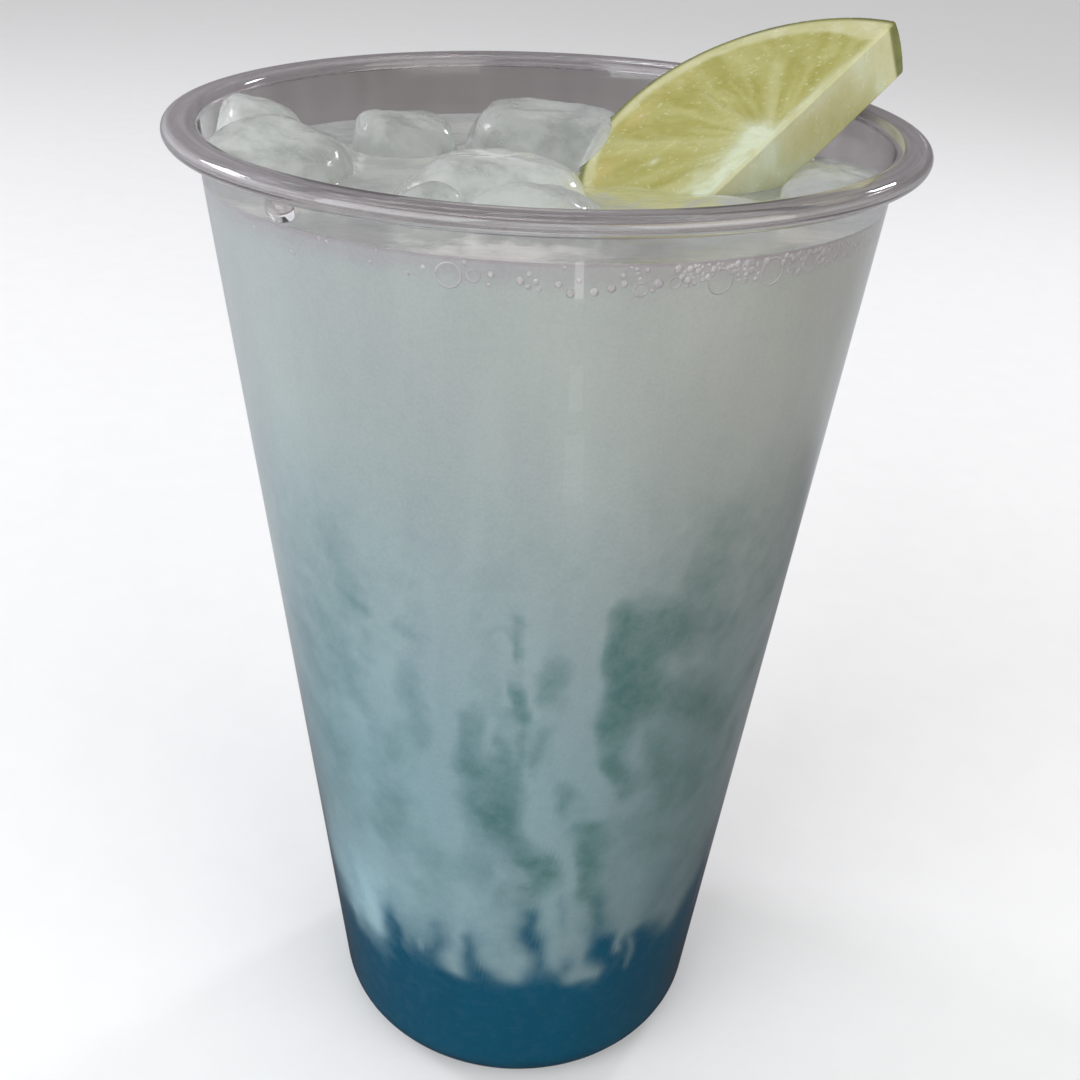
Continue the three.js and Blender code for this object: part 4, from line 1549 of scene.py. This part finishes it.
def add_camera():
    lens = bpy.data.cameras.new("camera")
    lens.lens = CAMERA_LENS
    lens.sensor_width = SENSOR_WIDTH
    lens.clip_start = CLIP_START
    camera = bpy.data.objects.new("camera", lens)
    right, up = Vector(CAMERA_RIGHT), Vector(CAMERA_UP)
    turn = Matrix((right, up, right.cross(up))).transposed()
    camera.matrix_world = Matrix.Translation(millimetres(*CAMERA_PLACE)) @ turn.to_4x4()
    bpy.context.collection.objects.link(camera)
    return camera


class ICED_OT_stage(bpy.types.Operator):
    """Lay the pale floor, light it softly and set the camera"""

    bl_idname = "iced.stage"
    bl_label = "Stage"
    bl_options = {"REGISTER", "UNDO"}

    def execute(self, context):
        stage = context.scene.iced_stage
        mesh = bmesh.new()
        bmesh.ops.create_grid(mesh, x_segments=2, y_segments=2, size=FLOOR_HALF)
        floor = new_object("floor", mesh, [floor_material(stage)])
        mesh.free()
        context.scene.world = room_world(stage)
        for name, (place, size, watts, colour) in LIGHTS.items():
            add_light(name, place, LIGHTS_AIM, size, watts, colour)
        add_strips()
        context.scene.camera = add_camera()
        context.scene.view_settings.view_transform = "Standard"
        return {"FINISHED"}


OPERATORS = (
    ICED_OT_stage,
    ICED_OT_cup,
    ICED_OT_drink,
    ICED_OT_bubbles,
    ICED_OT_droplet,
    ICED_OT_ice,
    ICED_OT_lime,
)


class ICED_PT_panel(bpy.types.Panel):
    """Buttons and settings for the drink"""

    bl_idname = "ICED_PT_panel"
    bl_label = "Iced Drink"
    bl_space_type = "VIEW_3D"
    bl_region_type = "UI"
    bl_category = "Iced Drink"

    def draw(self, context):
        for operator in OPERATORS:
            self.layout.operator(operator.bl_idname)
        for name, group in SETTINGS.items():
            box = self.layout.box()
            for setting in group.__annotations__:
                box.prop(getattr(context.scene, name), setting)


CLASSES = (*SETTINGS.values(), *OPERATORS, ICED_PT_panel)


def register():
    for made in CLASSES:
        bpy.utils.register_class(made)
    for name, group in SETTINGS.items():
        setattr(bpy.types.Scene, name, PointerProperty(type=group))


def unregister():
    for name in SETTINGS:
        delattr(bpy.types.Scene, name)
    for made in reversed(CLASSES):
        bpy.utils.unregister_class(made)


def main():
    register()
    bpy.ops.iced.stage()
    bpy.ops.iced.cup()
    bpy.ops.iced.ice()
    bpy.ops.iced.lime()
    bpy.ops.iced.drink()
    bpy.ops.iced.bubbles()
    bpy.ops.iced.droplet()


if __name__ == "__main__":
    main()
